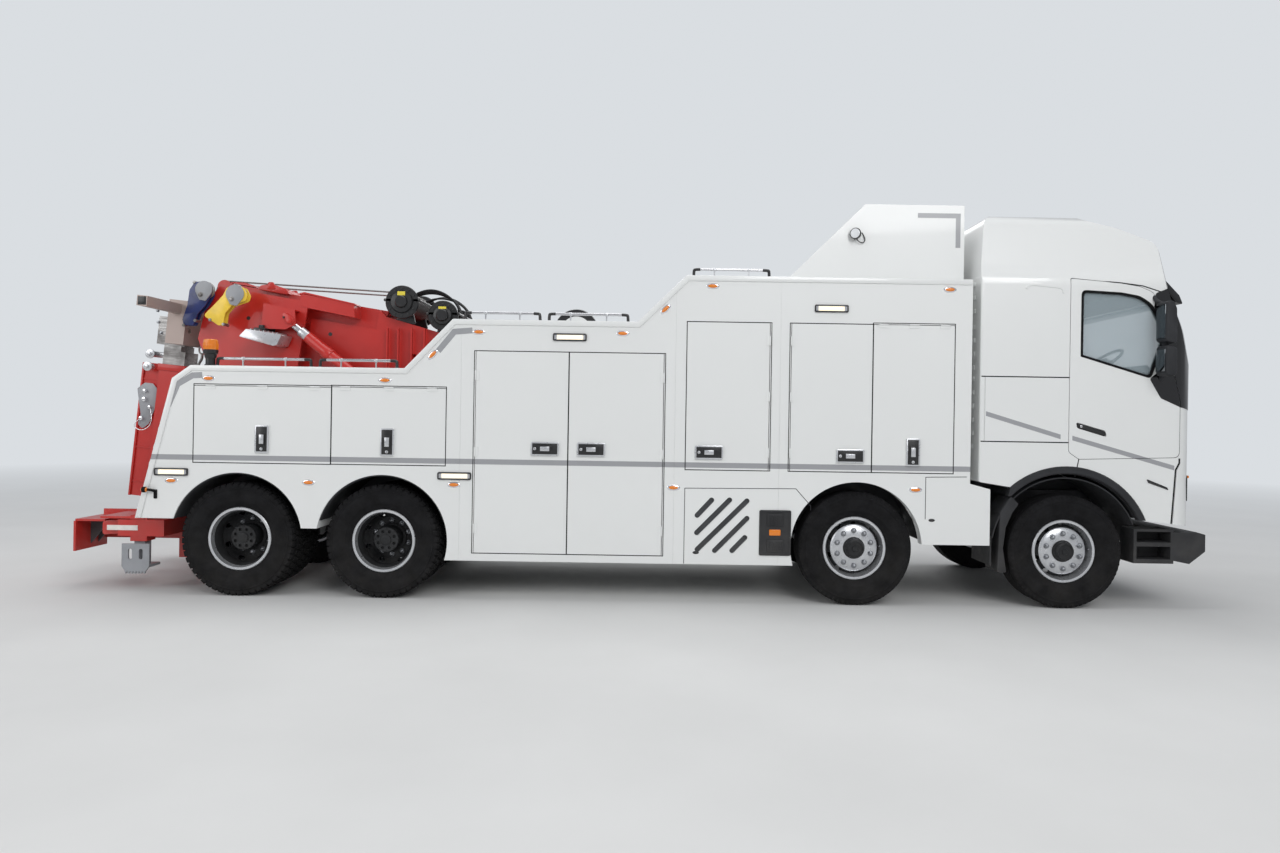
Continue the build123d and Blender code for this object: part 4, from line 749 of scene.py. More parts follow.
def barrel(side):
    """The well of one rim, from lip to lip, about a wheel middle at the origin."""
    w, wall = RIM_HALF, 0.01
    outer = [(BEAD_R - 0.012, w - 0.002), (LIP_R - 0.006, w), (LIP_R, w - 0.005), (LIP_R, w - 0.01),
             (LIP_R - 0.008, w - 0.014), (BEAD_R, w - 0.018), (BEAD_R - 0.004, w - 0.045), (BEAD_R - 0.018, w - 0.062),
             (BEAD_R - 0.026, w - 0.085), (BEAD_R - 0.026, -w + 0.07), (BEAD_R - 0.006, -w + 0.04),
             (BEAD_R, -w + 0.018), (LIP_R, -w + 0.01), (LIP_R - 0.004, -w), (BEAD_R - 0.014, -w)]
    inner = [(r - wall, y)
             for r, y in ((BEAD_R - 0.01, -w + 0.02), (BEAD_R - 0.03, -w + 0.062), (BEAD_R - 0.03, w - 0.085),
                          (BEAD_R - 0.014, w - 0.045), (BEAD_R - 0.004, w - 0.012))]
    return wheel_part(outer + inner + [outer[0]], 72, side)


def wheel_disc(face, dish, side, hole_r, holes):
    """The pressed disc, flat in its middle and dished towards the well, with hand holes round it."""
    flat, edge, t = 0.205, face + dish, 0.012
    profile = [(0.075, face), (flat - 0.012, face), (flat, face - 0.004 * (1 if dish < 0 else -1)),
               (0.238, face + dish * 0.55), (DISC_R - 0.014, edge), (DISC_R - 0.01, edge - t),
               (0.232, face + dish * 0.55 - t), (flat - 0.004, face - t), (0.075, face - t), (0.075, face)]
    disc = wheel_part(profile, 80, side)
    depth = abs(dish) + 0.08
    punch = rod((0.236, side * (face + dish / 2), 0), "Y", hole_r, depth, 16)
    bmesh.ops.scale(punch, vec=(1.0, 1.0, 1.35), space=Matrix.Translation((-0.236, 0, 0)), verts=punch.verts)
    return carve(disc, around(punch, (0, 0, 0), "Y", holes, math.pi / holes))


def wheel_nut(face, side):
    washer = lathe([(0, 0), (0.026, 0), (0.026, 0.004), (0.022, 0.008), (0, 0.008)], (NUT_CIRCLE_R, side * face, 0),
                   "Y", 16, side)
    body = hexagon((NUT_CIRCLE_R, side * (face + 0.016), 0), "Y", 0.036, 0.022, 0.002)
    cap = dome((NUT_CIRCLE_R, side * (face + 0.026), 0), "Y", 0.016, 0.01, 12, side)
    return together(washer, body, cap)


def valve(face, side):
    stem = strut((0.225, side * (face - 0.02), 0.02), (0.242, side * (face + 0.035), 0.02), 0.005, 8)
    return together(stem, strut((0.242, side * (face + 0.035), 0.02), (0.245, side * (face + 0.048), 0.02), 0.007, 8))


def steered_hub(side):
    """A turned cap that stands out of the disc, with a rim, a ring of small screws and a flat end."""
    f = FRONT_FACE
    cap = wheel_part([(0, f - 0.02), (0.1, f - 0.02), (0.1, f + 0.006), (0.094, f + 0.012), (0.09, f + 0.04),
                      (0.084, f + 0.052), (0.07, f + 0.058), (0.066, f + 0.052), (0.03, f + 0.052), (0.026, f + 0.06),
                      (0, f + 0.06)], 48, side)
    screw = hexagon((0.076, side * (f + 0.057), 0), "Y", 0.01, 0.008)
    return together(cap, around(screw, (0, 0, 0), "Y", 8))


def driven_hub(side):
    """The drive flange deep in the rim: a long barrel, a face with eight pockets and a bolted cap."""
    f, end = DUAL_FACE, RIM_HALF - 0.08
    barrel_shape = wheel_part([(0, f - 0.03), (0.142, f - 0.03), (0.142, f + 0.02), (0.118, f + 0.03),
                               (0.112, end - 0.03), (0.118, end - 0.022), (0.118, end - 0.004), (0.114, end), (0, end)],
                              56, side)
    pocket = rod((0.083, side * end, 0), "Y", 0.0155, 0.044, 14)
    ring = wheel_part([(0.046, end - 0.002), (0.046, end + 0.01), (0.03, end + 0.014), (0, end + 0.014),
                       (0, end - 0.002), (0.046, end - 0.002)], 32, side)
    bolt = hexagon((0.106, side * (end + 0.003), 0), "Y", 0.011, 0.008)
    body = carve(barrel_shape, around(pocket, (0, 0, 0), "Y", 8, math.pi / 8))
    return together(body, ring, around(bolt, (0, 0, 0), "Y", 8))


def brake_drum(side, near, far):
    lip = [(0, near), (0.198, near), (0.205, near - 0.008), (0.205, far + 0.05), (0.196, far + 0.045),
           (0.196, far + 0.03), (0.205, far + 0.025), (0.205, far), (0, far)]
    return wheel_part(lip, 48, side)


def wheel_shapes(driven, side, nut_count):
    """Rim, hub and drum, nuts, for a wheel whose outer tyre is at the origin."""
    if driven:
        # The driven disc and a thin sheet over the inside of the well take the dark hub finish: painted shade in the
        # deep well
        disc = wheel_disc(DUAL_FACE + 0.006, 0.075, side, 0.02, 8)
        line = [(BEAD_R - 0.0255, RIM_HALF - 0.045), (BEAD_R - 0.0415, RIM_HALF - 0.085),
                (BEAD_R - 0.0415, 0.062 - RIM_HALF), (BEAD_R - 0.03, 0.03 - RIM_HALF)]
        well = wheel_part(line + [(r - 0.001, y) for r, y in line[::-1]] + line[:1], 72, side)
        inner = moved(together(barrel(-side), wheel_disc(DUAL_FACE + 0.006, 0.075, -side, 0.02, 8)),
                      y=-side * DUAL_PITCH)
        nuts = around(wheel_nut(DUAL_FACE + 0.006, side), (0, 0, 0), "Y", nut_count, NUT_START)
        flange = wheel_part([(0.142, DUAL_FACE + 0.004), (0.2, DUAL_FACE + 0.004), (0.2, DUAL_FACE + 0.009),
                             (0.142, DUAL_FACE + 0.009), (0.142, DUAL_FACE + 0.004)], 56, side)
        drum = brake_drum(side, DUAL_FACE - 0.016, -DUAL_PITCH - 0.04)
        return together(barrel(side), inner), together(driven_hub(side), drum, disc, well, flange), nuts
    face = FRONT_FACE
    # The steered disc takes the dark hub finish: dark paint, with painted shade in the band between the silver plate
    # and the lip
    disc = wheel_disc(face, -0.07, side, 0.019, 10)
    plate = wheel_part([(0.104, face - 0.002), (0.104, face + 0.0015), (0.203, face + 0.0015), (0.223, face - 0.015),
                        (0.22, face - 0.021), (0.104, face - 0.002)], 80, side)
    nuts = around(wheel_nut(face + 0.0015, side), (0, 0, 0), "Y", nut_count, NUT_START)
    drum = brake_drum(side, face - 0.016, -0.0625)
    nuts = together(nuts, valve(face - 0.04, side))
    return together(barrel(side), plate), together(steered_hub(side), drum, disc), nuts


def make_rims(sizes):
    for word, side in SIDES:
        for number, x in enumerate(AXLES, 1):
            if number in (1, 3):  # the second and fourth axles repeat them
                shapes = wheel_shapes(number > 2, side, sizes.nuts)
            body = f"wheel_{number}_{word}"
            rim, hub, nuts = [moved(s, x, side * TYRE_MIDDLE, HUB_Z) for s in shapes]
            piece(f"rim_{number}_{word}_pressed", body, "silver", rim, replaces=(f"rim_{number}_{word}",), smooth=40)
            piece(f"hub_{number}_{word}", body, "hub", hub)
            piece(f"nuts_{number}_{word}", body, "nut_steel", nuts)


# Cab: its side, plan and end outlines. Lengths are from the first axle, and the last value softens a corner.
CAB_SIDE = ((-0.835, 1.19, 0.03), (-0.835, 3.13, 0.3), (-0.75, 3.7, 0.1), (-0.625, 3.8, 0.15), (0.204, 3.775, 0.6),
            (0.615, 3.65, 0.6), (0.944, 3.5, 0.16), (1.046, 3.03, 0.3), (1.16, 2.664, 0.9), (1.221, 2.261, 0.9),
            (1.25, 1.42, 0.5), (1.25, 1.2, 0.5), (1.232, 0.79, 0.03), (0.64, 0.86, 0.02), (0.0, 0.86, 0.02),
            (-0.5, 1.14, 0.02))
CAB_DOOR = ((0.012, 3.128), (0.484, 3.086), (0.665, 3.058), (0.8, 3.0), (1.06, 1.974), (1.06, 1.45), (0.11, 1.42),
            (0.012, 1.486))
DOOR_SOFT = (0.02, 0.3, 0.3, 0.1, 0.05, 0.06, 0.05, 0.05)
WINDOW = ((0.122, 2.398), (0.122, 3.008), (0.485, 2.99), (0.66, 2.96), (0.77, 2.89), (0.85, 2.75), (0.897, 2.555),
          (0.77, 2.205))
WINDOW_SOFT = (0.01, 0.05, 0.3, 0.2, 0.2, 0.2, 0.05, 0.04)
MASK = ((0.812, 3.0), (0.8, 2.87), (0.872, 2.7), (0.915, 2.53), (0.905, 2.3), (0.765, 2.19), (0.873, 2.007),
        (1.057, 1.926), (1.4, 1.86), (1.4, 3.06), (1.0, 3.075))
WINDSCREEN = ((-1.095, 2.08), (1.095, 2.08), (1.02, 2.965), (-1.02, 2.965))
CAB_SKIN = 0.05
# The front corners: the cab's side outline, turned about an upright axis, cuts them back towards the roof
CORNER_AXIS = -2.337
CORNER_LINE = ((-6.0, 0.5, 0), (-6.0, 4.3, 0), (0.0, 4.3, 0), *CAB_SIDE[4:12], (1.25, 0.5, 0))
CORNER_TURN = math.radians(35)
PRESSED_WIDTH, PRESSED_RISE = 0.02, 0.0055
CAB_FLOOR = 1.39
CAB_ARCH = 0.745
EAVES = 3.12
# Gaps between the cab's panels: their lines, width and depth
CAB_SEAMS = (((((-0.9, 3.177), (-0.011, 3.131), (0.484, 3.092), (0.69, 3.066), (0.95, 2.985)),
               ((-0.9, 2.189), (0.012, 2.189)), ((-0.9, 1.574), (0.012, 1.574)), ((-0.79, 1.574), (-0.79, 2.189)),
               ((0.11, 1.424), (0.075, 1.25))), 0.011, 0.008),
             ((((1.064, 1.44), (1.064, 1.395), (1.028, 1.33), (0.985, 0.7)),), 0.022, 0.03))


def cab_form(step):
    """The cab as one closed form, each side moved inwards by a step."""
    side = softened(inset(from_axle([p[:2] for p in CAB_SIDE]), step), [p[2] for p in CAB_SIDE])
    half, front, rear = CAB_HALF - step, CAB_FRONT - step, CAB_REAR + step
    flank = [(rear, -half), (front - 0.17, -half), (front - 0.055, -half + 0.085), (front - 0.012, -half + 0.3),
             (front, -0.35)]
    plan = softened(flank + [(x, -y) for x, y in reversed(flank)],
                    [0.03, 0.25, 0.16, 0.3, 0.5, 0.5, 0.3, 0.16, 0.25, 0.03])
    brow = [(half, 0.7), (half, EAVES), (half - 0.06, EAVES + 0.11), (half - 0.2, ROOF_Z - 0.06 - step),
            (half - 0.42, ROOF_Z - step)]
    end = softened([(-y, z) for y, z in brow] + brow[::-1], [0.02, 0.3, 0.5, 0.3, 0.4, 0.4, 0.3, 0.5, 0.3, 0.02])
    form = prism(side, -CAB_HALF - 0.1, CAB_HALF + 0.1)
    form = carve(form, prism(plan, 0.6, ROOF_Z + 0.1, "Z"), "INTERSECT")
    outline = softened(inset(from_axle([p[:2] for p in CORNER_LINE]), step), [p[2] for p in CORNER_LINE])
    for side_sign in (-1, 1):
        corner = turned(prism(outline, -6.0, 6.0), (ahead(CORNER_AXIS), 0, 0), "Z", side_sign * CORNER_TURN)
        form = carve(form, corner, "INTERSECT")
    return carve(form, prism(end, CAB_REAR - 0.1, CAB_FRONT + 0.1, "X"), "INTERSECT")


def strip(points, width):
    """The outline of a band of one width along a bent line."""
    line = [Vector(p) for p in points]
    left, right = [], []
    for i, p in enumerate(line):
        after = (line[min(i + 1, len(line) - 1)] - line[min(i, len(line) - 2)]).normalized()
        before = (line[max(i, 1)] - line[max(i - 1, 0)]).normalized()
        across = Vector((-(before.y + after.y), before.x + after.x)).normalized()
        reach = width / 2 / max(0.4, across.dot(Vector((-before.y, before.x))))
        left.append(tuple(p + across * reach))
        right.append(tuple(p - across * reach))
    return left + right[::-1]


def cab_plate(outline, inner, outer, edge=0.0, segments=2):
    """A plate on the left flank of the cab, between two depths stated from the flank's face."""
    return prism(outline, CAB_HALF + inner, CAB_HALF + outer, "Y", edge, segments)


def screen_opening(depth=0.3, step=0.0):
    """A cutter of the windscreen's outline, through the cab's front."""
    outline = inset(list(WINDSCREEN), step) if step else WINDSCREEN
    return prism(softened(outline, 0.1), CAB_FRONT - depth, CAB_FRONT + 0.1, "X")


def seams(lines, width, depth):
    """Cutters for the gaps between panels on both flanks."""
    return [both(cab_plate(strip(from_axle(line), width), -depth, 0.05)) for line in lines]


def cab_skin():
    """The walls, floor and roof of the cab, open at the doors, wheels, windscreen and rear window."""
    reach = CAB_HALF + 0.1
    room = carve(cab_form(CAB_SKIN), block((CAB_REAR, CAB_FRONT), (-reach, reach), (CAB_FLOOR, ROOF_Z)), "INTERSECT")
    skin = cab_form(0.0)
    doorway = contour(CAB_DOOR, DOOR_SOFT, -0.005)
    cutters = [block((CAB_REAR + 0.04, CAB_FRONT - CAB_SKIN), (-0.49, 0.49), (0.7, CAB_FLOOR - 0.06)),
               rod((FIRST, 0, HUB_Z), "Y", CAB_ARCH, 2 * reach, 96),
               both(prism(doorway, CAB_HALF - CAB_SKIN - 0.02, reach)), screen_opening(),
               block((CAB_REAR - 0.1, CAB_REAR + 0.1), (-0.45, 0.45), (2.3, 2.7))]
    for lines, width, depth in CAB_SEAMS:
        cutters += seams(lines, width, depth)
    for cutter in (*cutters, room):
        skin = carve(skin, cutter)
    return skin


def clipped(step, thickness, outline, low=None):
    """A layer of the cab's form, kept inside an outline seen from the side."""
    reach = CAB_HALF + 0.1
    cutter = prism(outline, -reach if low is None else low, reach)
    return carve(carve(cab_form(step), cutter, "INTERSECT"), cab_form(step + thickness))


def embossed(outline):
    """A raised line round a pressed panel on both flanks of the cab."""
    return both(cab_plate(strip(outline, PRESSED_WIDTH), -0.002, PRESSED_RISE, 0.0015, 1))


def grille_bars(low, high, half, count, x):
    pitch = (high - low) / count
    bars = [block((x - 0.05, x), (-half, half), (low + pitch * (i + 0.22), low + pitch * (i + 0.8)), 0.006)
            for i in range(count)]
    return together(*bars)


def make_cab(sizes):
    doorway = contour(CAB_DOOR, DOOR_SOFT, -0.005)
    mask = clipped(-0.003, 0.014, contour(MASK, 0.03))
    mask = carve(carve(mask, screen_opening()), both(cab_plate(doorway, -0.06, 0.1)))
    piece("cab_skin", "cab", "white", cab_skin(), replaces=("cab_shell",), smooth=28)
    piece("windscreen_mask", "cab", "gloss_black", mask, smooth=30)
    pane = carve(carve(cab_form(0.014), screen_opening(step=0.001), "INTERSECT"), cab_form(0.02))
    rear_pane = block((CAB_REAR + 0.012, CAB_REAR + 0.018), (-0.449, 0.449), (2.301, 2.699))
    piece("windscreen", "cab", "glass", pane, rear_pane, replaces=("cab_glass",))
    panel = contour(((-0.646, 2.628), (-0.388, 3.067), (-0.057, 3.038), (-0.048, 2.432)), [0.01, 0.08, 0.06, 0.01])
    # The line is open at the panel's foot, so its first and last corners are left out
    piece("cab_pressings", "cab", "white", embossed(panel[6:-6]))
    make_cab_front()
    make_cab_trim()


def make_cab_front():
    """Grille, headlamps, visor, wipers and marker lamps."""
    bar_x = CAB_FRONT + 0.004
    frame_ring = carve(block((CAB_FRONT - 0.05, CAB_FRONT + 0.002), (-0.8, 0.8), (1.0, 1.86), 0.01),
                       block((CAB_FRONT - 0.06, CAB_FRONT + 0.02), (-0.76, 0.76), (1.04, 1.82)))
    back = block((CAB_FRONT - 0.06, CAB_FRONT - 0.045), (-0.78, 0.78), (1.02, 1.84))
    piece("grille", "cab", "plastic", frame_ring, back, grille_bars(1.05, 1.81, 0.765, 7, bar_x))
    lamps, lenses, ambers = [], [], []
    for side in (-1, 1):
        housing = softened([(side * 0.8, 1.0), (side * 1.16, 1.03), (side * 1.185, 1.28), (side * 0.86, 1.24)], 0.05)
        outer = prism(housing, CAB_FRONT - 0.16, CAB_FRONT - 0.012, "X", 0.006)
        lamps.append(carve(outer, cab_form(-0.006), "INTERSECT"))
        for y, r, depth in ((0.9, 0.058, 0.02), (1.04, 0.062, 0.036)):
            lenses.append(dome((CAB_FRONT - depth, side * y, 1.12), "X", r, 0.022, 24))
        ambers.append(strut((CAB_FRONT - 0.03, side * 0.9, 1.232), (CAB_FRONT - 0.045, side * 1.14, 1.262), 0.014, 12))
    piece("headlamp_housings", "cab", "black", *lamps)
    piece("headlamps", "cab", "clear_lens", *lenses)
    piece("indicators", "cab", "amber", *ambers)
    visor = prism(contour(((0.985, 3.172), (1.14, 3.01), (1.182, 2.914), (1.105, 2.945), (1.025, 3.045), (0.95, 3.16)),
                          0.02), -1.075, 1.075, "Y", 0.006)
    struts = [strut((ahead(0.98), y, 3.1), (ahead(1.09), y, 2.985), 0.012, 10) for y in (-0.9, 0, 0.9)]
    piece("sun_visor", "cab", "gloss_black", visor, *struts)
    wipers = []
    for y in (-0.72, 0.1):
        foot = Vector((CAB_FRONT - 0.018, y, 2.03))
        tip = Vector((CAB_FRONT - 0.03, y + 0.46, 2.16))
        wipers += [rod(foot, "X", 0.018, 0.05, 14, 0.004), strut(foot + Vector((0.02, 0, 0)), tip, 0.008, 8),
                   strut(tip + Vector((0, -0.36, -0.03)), tip + Vector((-0.012, 0.3, 0.05)), 0.006, 8)]
    piece("wipers", "cab", "black", *wipers)
    roof_lamps = [slab((0.9, 0.955), (y - 0.055, y + 0.055), (3.46, 3.5), 0.012) for y in (-0.85, -0.28, 0.28, 0.85)]
    piece("roof_markers", "cab", "amber", *roof_lamps)


def arch_zone(foot):
    """The part of the first wheel's arch that the cab carries, down to a height ahead of the wheel."""
    return from_axle(((-0.56, 1.06), (-0.4, 1.6), (0.6, 1.6), (0.84, foot), (0.3, foot), (-0.2, 1.06)))


def make_cab_trim():
    """Arch lips, seals, side lamps and the ribs of the rear wall."""
    lip = lathe([(0.742, 0.0), (0.742, 0.052), (0.752, 0.06), (0.8, 0.056), (0.812, 0.044), (0.812, 0.0), (0.742, 0.0)],
                (FIRST, CAB_HALF - 0.042, HUB_Z), "Y", 96)
    lip = carve(lip, cab_plate(arch_zone(0.848), -0.1, 0.1), "INTERSECT")
    piece("cab_arch_lips", "cab", "plastic", lip, mirror=True, smooth=40)
    lining = carve(lathe([(0.744, 0.0), (0.744, 0.56), (0.736, 0.56), (0.736, 0.0), (0.744, 0.0)],
                         (FIRST, CAB_HALF - 0.6, HUB_Z), "Y", 72), cab_plate(arch_zone(0.87), -0.7, 0.1), "INTERSECT")
    piece("cab_arch_linings", "cab", "plastic", lining, mirror=True, smooth=40)
    fill = [cab_plate(strip(from_axle(line), width - 0.001), -depth, -depth * 0.45)
            for lines, width, depth in CAB_SEAMS for line in lines]
    piece("cab_seam_fill", "cab", "rubber", carve(both(together(*fill)), cab_form(0.0035), "INTERSECT"))
    ring = carve(cab_plate(contour(CAB_DOOR, DOOR_SOFT, -0.0045), -0.034, -0.007),
                 cab_plate(contour(CAB_DOOR, DOOR_SOFT, -0.0012), -0.05, 0.01))
    piece("cab_door_gaps", "cab", "rubber", ring, mirror=True)
    slot_outline = contour(((0.745, 1.243), (0.945, 1.165), (0.96, 1.138), (0.768, 1.205)), 0.012)
    piece("side_lamps", "cab", "gloss_black", cab_plate(slot_outline, -0.004, 0.006, 0.003), mirror=True)
    ribs = [block((CAB_REAR - 0.006, CAB_REAR + 0.004), (-1.1, 1.1), (z, z + 0.045), 0.003)
            for z in [1.5 + 0.13 * i for i in range(13)] if not 2.22 < z < 2.72]
    side_ribs = [block((CAB_REAR - 0.006, CAB_REAR + 0.004), (s * 0.62, s * 1.1), (z, z + 0.045), 0.003)
                 for s in (-1, 1) for z in (2.26, 2.39, 2.52, 2.65)]
    piece("rear_wall_ribs", "cab", "white", *ribs, *side_ribs)
    seal = carve(block((CAB_REAR - 0.008, CAB_REAR + 0.01), (-0.475, 0.475), (2.275, 2.725), 0.004),
                 block((CAB_REAR - 0.02, CAB_REAR + 0.02), (-0.445, 0.445), (2.305, 2.695)))
    piece("rear_window_seal", "cab", "rubber", seal)


# Cab doors
def door_skin():
    """One door's outer skin and frame, on the left."""
    outline = cab_plate(contour(CAB_DOOR, DOOR_SOFT), -CAB_SKIN - 0.02, 0.1)
    door = carve(carve(cab_form(0.0), outline, "INTERSECT"), cab_form(CAB_SKIN))
    hole = cab_plate(contour(WINDOW, WINDOW_SOFT), -0.2, 0.1)
    cup = cab_plate(contour(((0.075, 1.77), (0.355, 1.69), (0.372, 1.63), (0.088, 1.712)), 0.03), -0.03, 0.05)
    for cutter in (hole, cup):
        door = carve(door, cutter)
    return door


def make_doors(sizes):
    frame_out, frame_in = contour(WINDOW, WINDOW_SOFT, -0.012), contour(WINDOW, WINDOW_SOFT, 0.01)
    seal = carve(cab_plate(frame_out, -0.045, 0.003, 0.002, 1), cab_plate(frame_in, -0.06, 0.02))
    seal = carve(seal, cab_form(-0.004), "INTERSECT")
    doorway = cab_plate(contour(CAB_DOOR, DOOR_SOFT), -0.06, 0.1)
    mask = carve(clipped(-0.003, 0.014, contour(MASK, 0.03), 0.5), doorway, "INTERSECT")
    mask = carve(mask, cab_plate(contour(WINDOW, WINDOW_SOFT), -0.2, 0.1))
    skin = door_skin()
    handle = contour(((0.088, 1.758), (0.352, 1.682), (0.362, 1.64), (0.098, 1.718)), 0.018)
    handle = cab_plate(handle, -0.012, 0.006, 0.005)
    cup = contour(((0.077, 1.768), (0.354, 1.688), (0.37, 1.632), (0.09, 1.714)), 0.03)
    cup = cab_plate(cup, -0.034, -0.028)
    lock = rod((ahead(0.125), CAB_HALF - 0.004, 1.728), "Y", 0.012, 0.024, 16, 0.002)
    liner = carve(cab_plate(inset(from_axle(CAB_DOOR), 0.03), -CAB_SKIN - 0.012, -CAB_SKIN + 0.002, 0.004),
                  cab_plate(contour(WINDOW, WINDOW_SOFT, -0.01), -0.2, 0.1))
    pull = pipe(path((0.35, CAB_HALF - 0.062, 1.92), (0.4, CAB_HALF - 0.1, 1.93), (0.66, CAB_HALF - 0.1, 1.86),
                     (0.71, CAB_HALF - 0.062, 1.85)), 0.013)
    bins = slab((0.22, 0.95), (CAB_HALF - 0.125, CAB_HALF - 0.055), (1.47, 1.66), 0.012)
    groups = (("skin", "white", skin), ("mask", "gloss_black", mask), ("seal", "rubber", seal),
              ("handle", "black", together(handle, cup)), ("lock", "chrome", lock),
              ("lining", "grey_plastic", together(liner, pull, bins)), ("mirror", "plastic", mirror_housing()),
              ("mirror_glass", "mirror", mirror_glasses()))
    for word, side in SIDES:
        door = f"cab_door_{word}"
        for part, finish, shape in groups:
            piece(f"{door}_{part}", door, finish, on_side(shape, side), replaces=(door,) if part == "skin" else (),
                  smooth=30)


def mirror_housing():
    """A tall main housing, a wide-angle one below it, and two arms to the door."""
    y0, y1 = CAB_HALF + 0.048, CAB_HALF + 0.218
    main = prism(contour(((0.788, 2.53), (0.896, 2.5), (0.89, 2.83), (0.86, 2.903), (0.788, 2.903)), 0.035), y0, y1,
                 "Y", 0.018, 3)
    low = prism(contour(((0.79, 2.212), (0.897, 2.205), (0.897, 2.47), (0.79, 2.5)), 0.035), y0, y1, "Y", 0.018, 3)
    arms = [pipe(path((x, CAB_HALF - 0.03, z), (x, CAB_HALF + 0.05, z + rise), (0.85, CAB_HALF + 0.12, z + rise)),
                 0.02) for x, z, rise in ((0.8, 2.985, -0.1), (0.873, 2.15, 0.11))]
    joint = slab((0.82, 0.87), (y0 + 0.03, y0 + 0.09), (2.44, 2.56), 0.015)
    return together(main, low, joint, *arms)


def mirror_glasses():
    y0, y1 = CAB_HALF + 0.062, CAB_HALF + 0.204
    return together(*[slab((0.783, 0.789), (y0, y1), span, 0.002) for span in ((2.56, 2.87), (2.25, 2.455))])


# Cab interior: the dash seen from the side, from the first axle and above the floor
SEAT_Y = 0.72
DRIVER_Y = -SEAT_Y
WHEEL_AT = (0.59, 0.98)
WHEEL_LEAN = math.radians(37)
DASH = ((0.8, 0.02), (0.788, 0.4), (0.745, 0.6), (0.75, 0.84), (0.84, 0.888), (1.052, 0.885), (1.142, 0.562),
        (1.142, 0.0), (0.85, 0.0))
HOOD = ((0.72, 0.83), (0.73, 0.925), (0.9, 0.95), (1.0, 0.875))


def from_floor(points, z):
    """Places stated from the first axle and above the cab's floor."""
    return [(ahead(x), z + h) for x, h in points]


def seat_shapes(y, z):
    """The soft parts of one seat: cushion, back and head restraint, the first two with side rolls."""
    cushion = [slab((-0.13, 0.4), (y - 0.21, y + 0.21), (z + 0.335, z + 0.462), 0.04, 4)]
    line = softened(from_floor(((-0.12, 0.43), (-0.235, 0.43), (-0.25, 0.98), (-0.17, 1.0)), z), 0.03)
    back = [prism(line, y - 0.205, y + 0.205, "Y", 0.025, 3)]
    for s in (-1, 1):
        cushion.append(slab((-0.13, 0.385), (y + s * 0.165, y + s * 0.25), (z + 0.335, z + 0.488), 0.035, 4))
        back.append(prism([(x + 0.03, h) for x, h in line], y + s * 0.16, y + s * 0.248, "Y", 0.025, 3))
    head = slab((-0.245, -0.165), (y - 0.14, y + 0.14), (z + 1.03, z + 1.2), 0.035, 4)
    return together(*cushion), together(*back), head


def seat_base(y, z):
    """Floor plate, bellows, pan and the two posts of the head restraint."""
    folds = [slab((-0.07, 0.33), (y - 0.18, y + 0.18), (z + 0.055 + 0.055 * i, z + 0.115 + 0.055 * i), 0.018)
             for i in range(4)]
    posts = [strut((ahead(-0.205), y + s * 0.06, z + 0.95), (ahead(-0.205), y + s * 0.06, z + 1.06), 0.007, 10)
             for s in (-1, 1)]
    return together(slab((-0.11, 0.37), (y - 0.21, y + 0.21), (z, z + 0.06), 0.008),
                    slab((-0.125, 0.385), (y - 0.225, y + 0.225), (z + 0.27, z + 0.34), 0.012), *folds, *posts)


def steering_wheel(z):
    """A leaning rim with three spokes on its column."""
    hub = Vector((ahead(WHEEL_AT[0]), DRIVER_Y, z + WHEEL_AT[1]))
    ring = hoop(0.21, 0.015, 10, hub, "Z", 48)
    spokes = block((hub.x - 0.022, hub.x + 0.022), (hub.y - 0.205, hub.y + 0.205), (hub.z - 0.01, hub.z + 0.01), 0.006)
    lower = block((hub.x - 0.205, hub.x), (hub.y - 0.025, hub.y + 0.025), (hub.z - 0.009, hub.z + 0.009), 0.006)
    wheel = turned(together(ring, rod(hub, "Z", 0.065, 0.04, 28, 0.012), spokes, lower), hub, "Y", -WHEEL_LEAN)
    return together(wheel, strut(hub, (ahead(0.86), DRIVER_Y, z + 0.6), 0.038, 20))


def cab_liner():
    """A grey lining of the walls and roof, open where the doors and panes are."""
    liner = cab_form(CAB_SKIN + 0.001)
    cutters = (block((CAB_REAR - 0.1, CAB_FRONT + 0.1), (-1.4, 1.4), (0.6, CAB_FLOOR + 0.01)),
               both(cab_plate(contour(CAB_DOOR, DOOR_SOFT, -0.008), -0.13, 0.1)), screen_opening(0.36),
               block((CAB_REAR - 0.1, CAB_REAR + 0.2), (-0.45, 0.45), (2.3, 2.7)), cab_form(CAB_SKIN + 0.009))
    for cutter in cutters:
        liner = carve(liner, cutter)
    shelf = carve(slab((0.5, 1.02), (-1.25, 1.25), (3.115, 3.15)), cab_form(CAB_SKIN + 0.002), "INTERSECT")
    return together(liner, shelf)


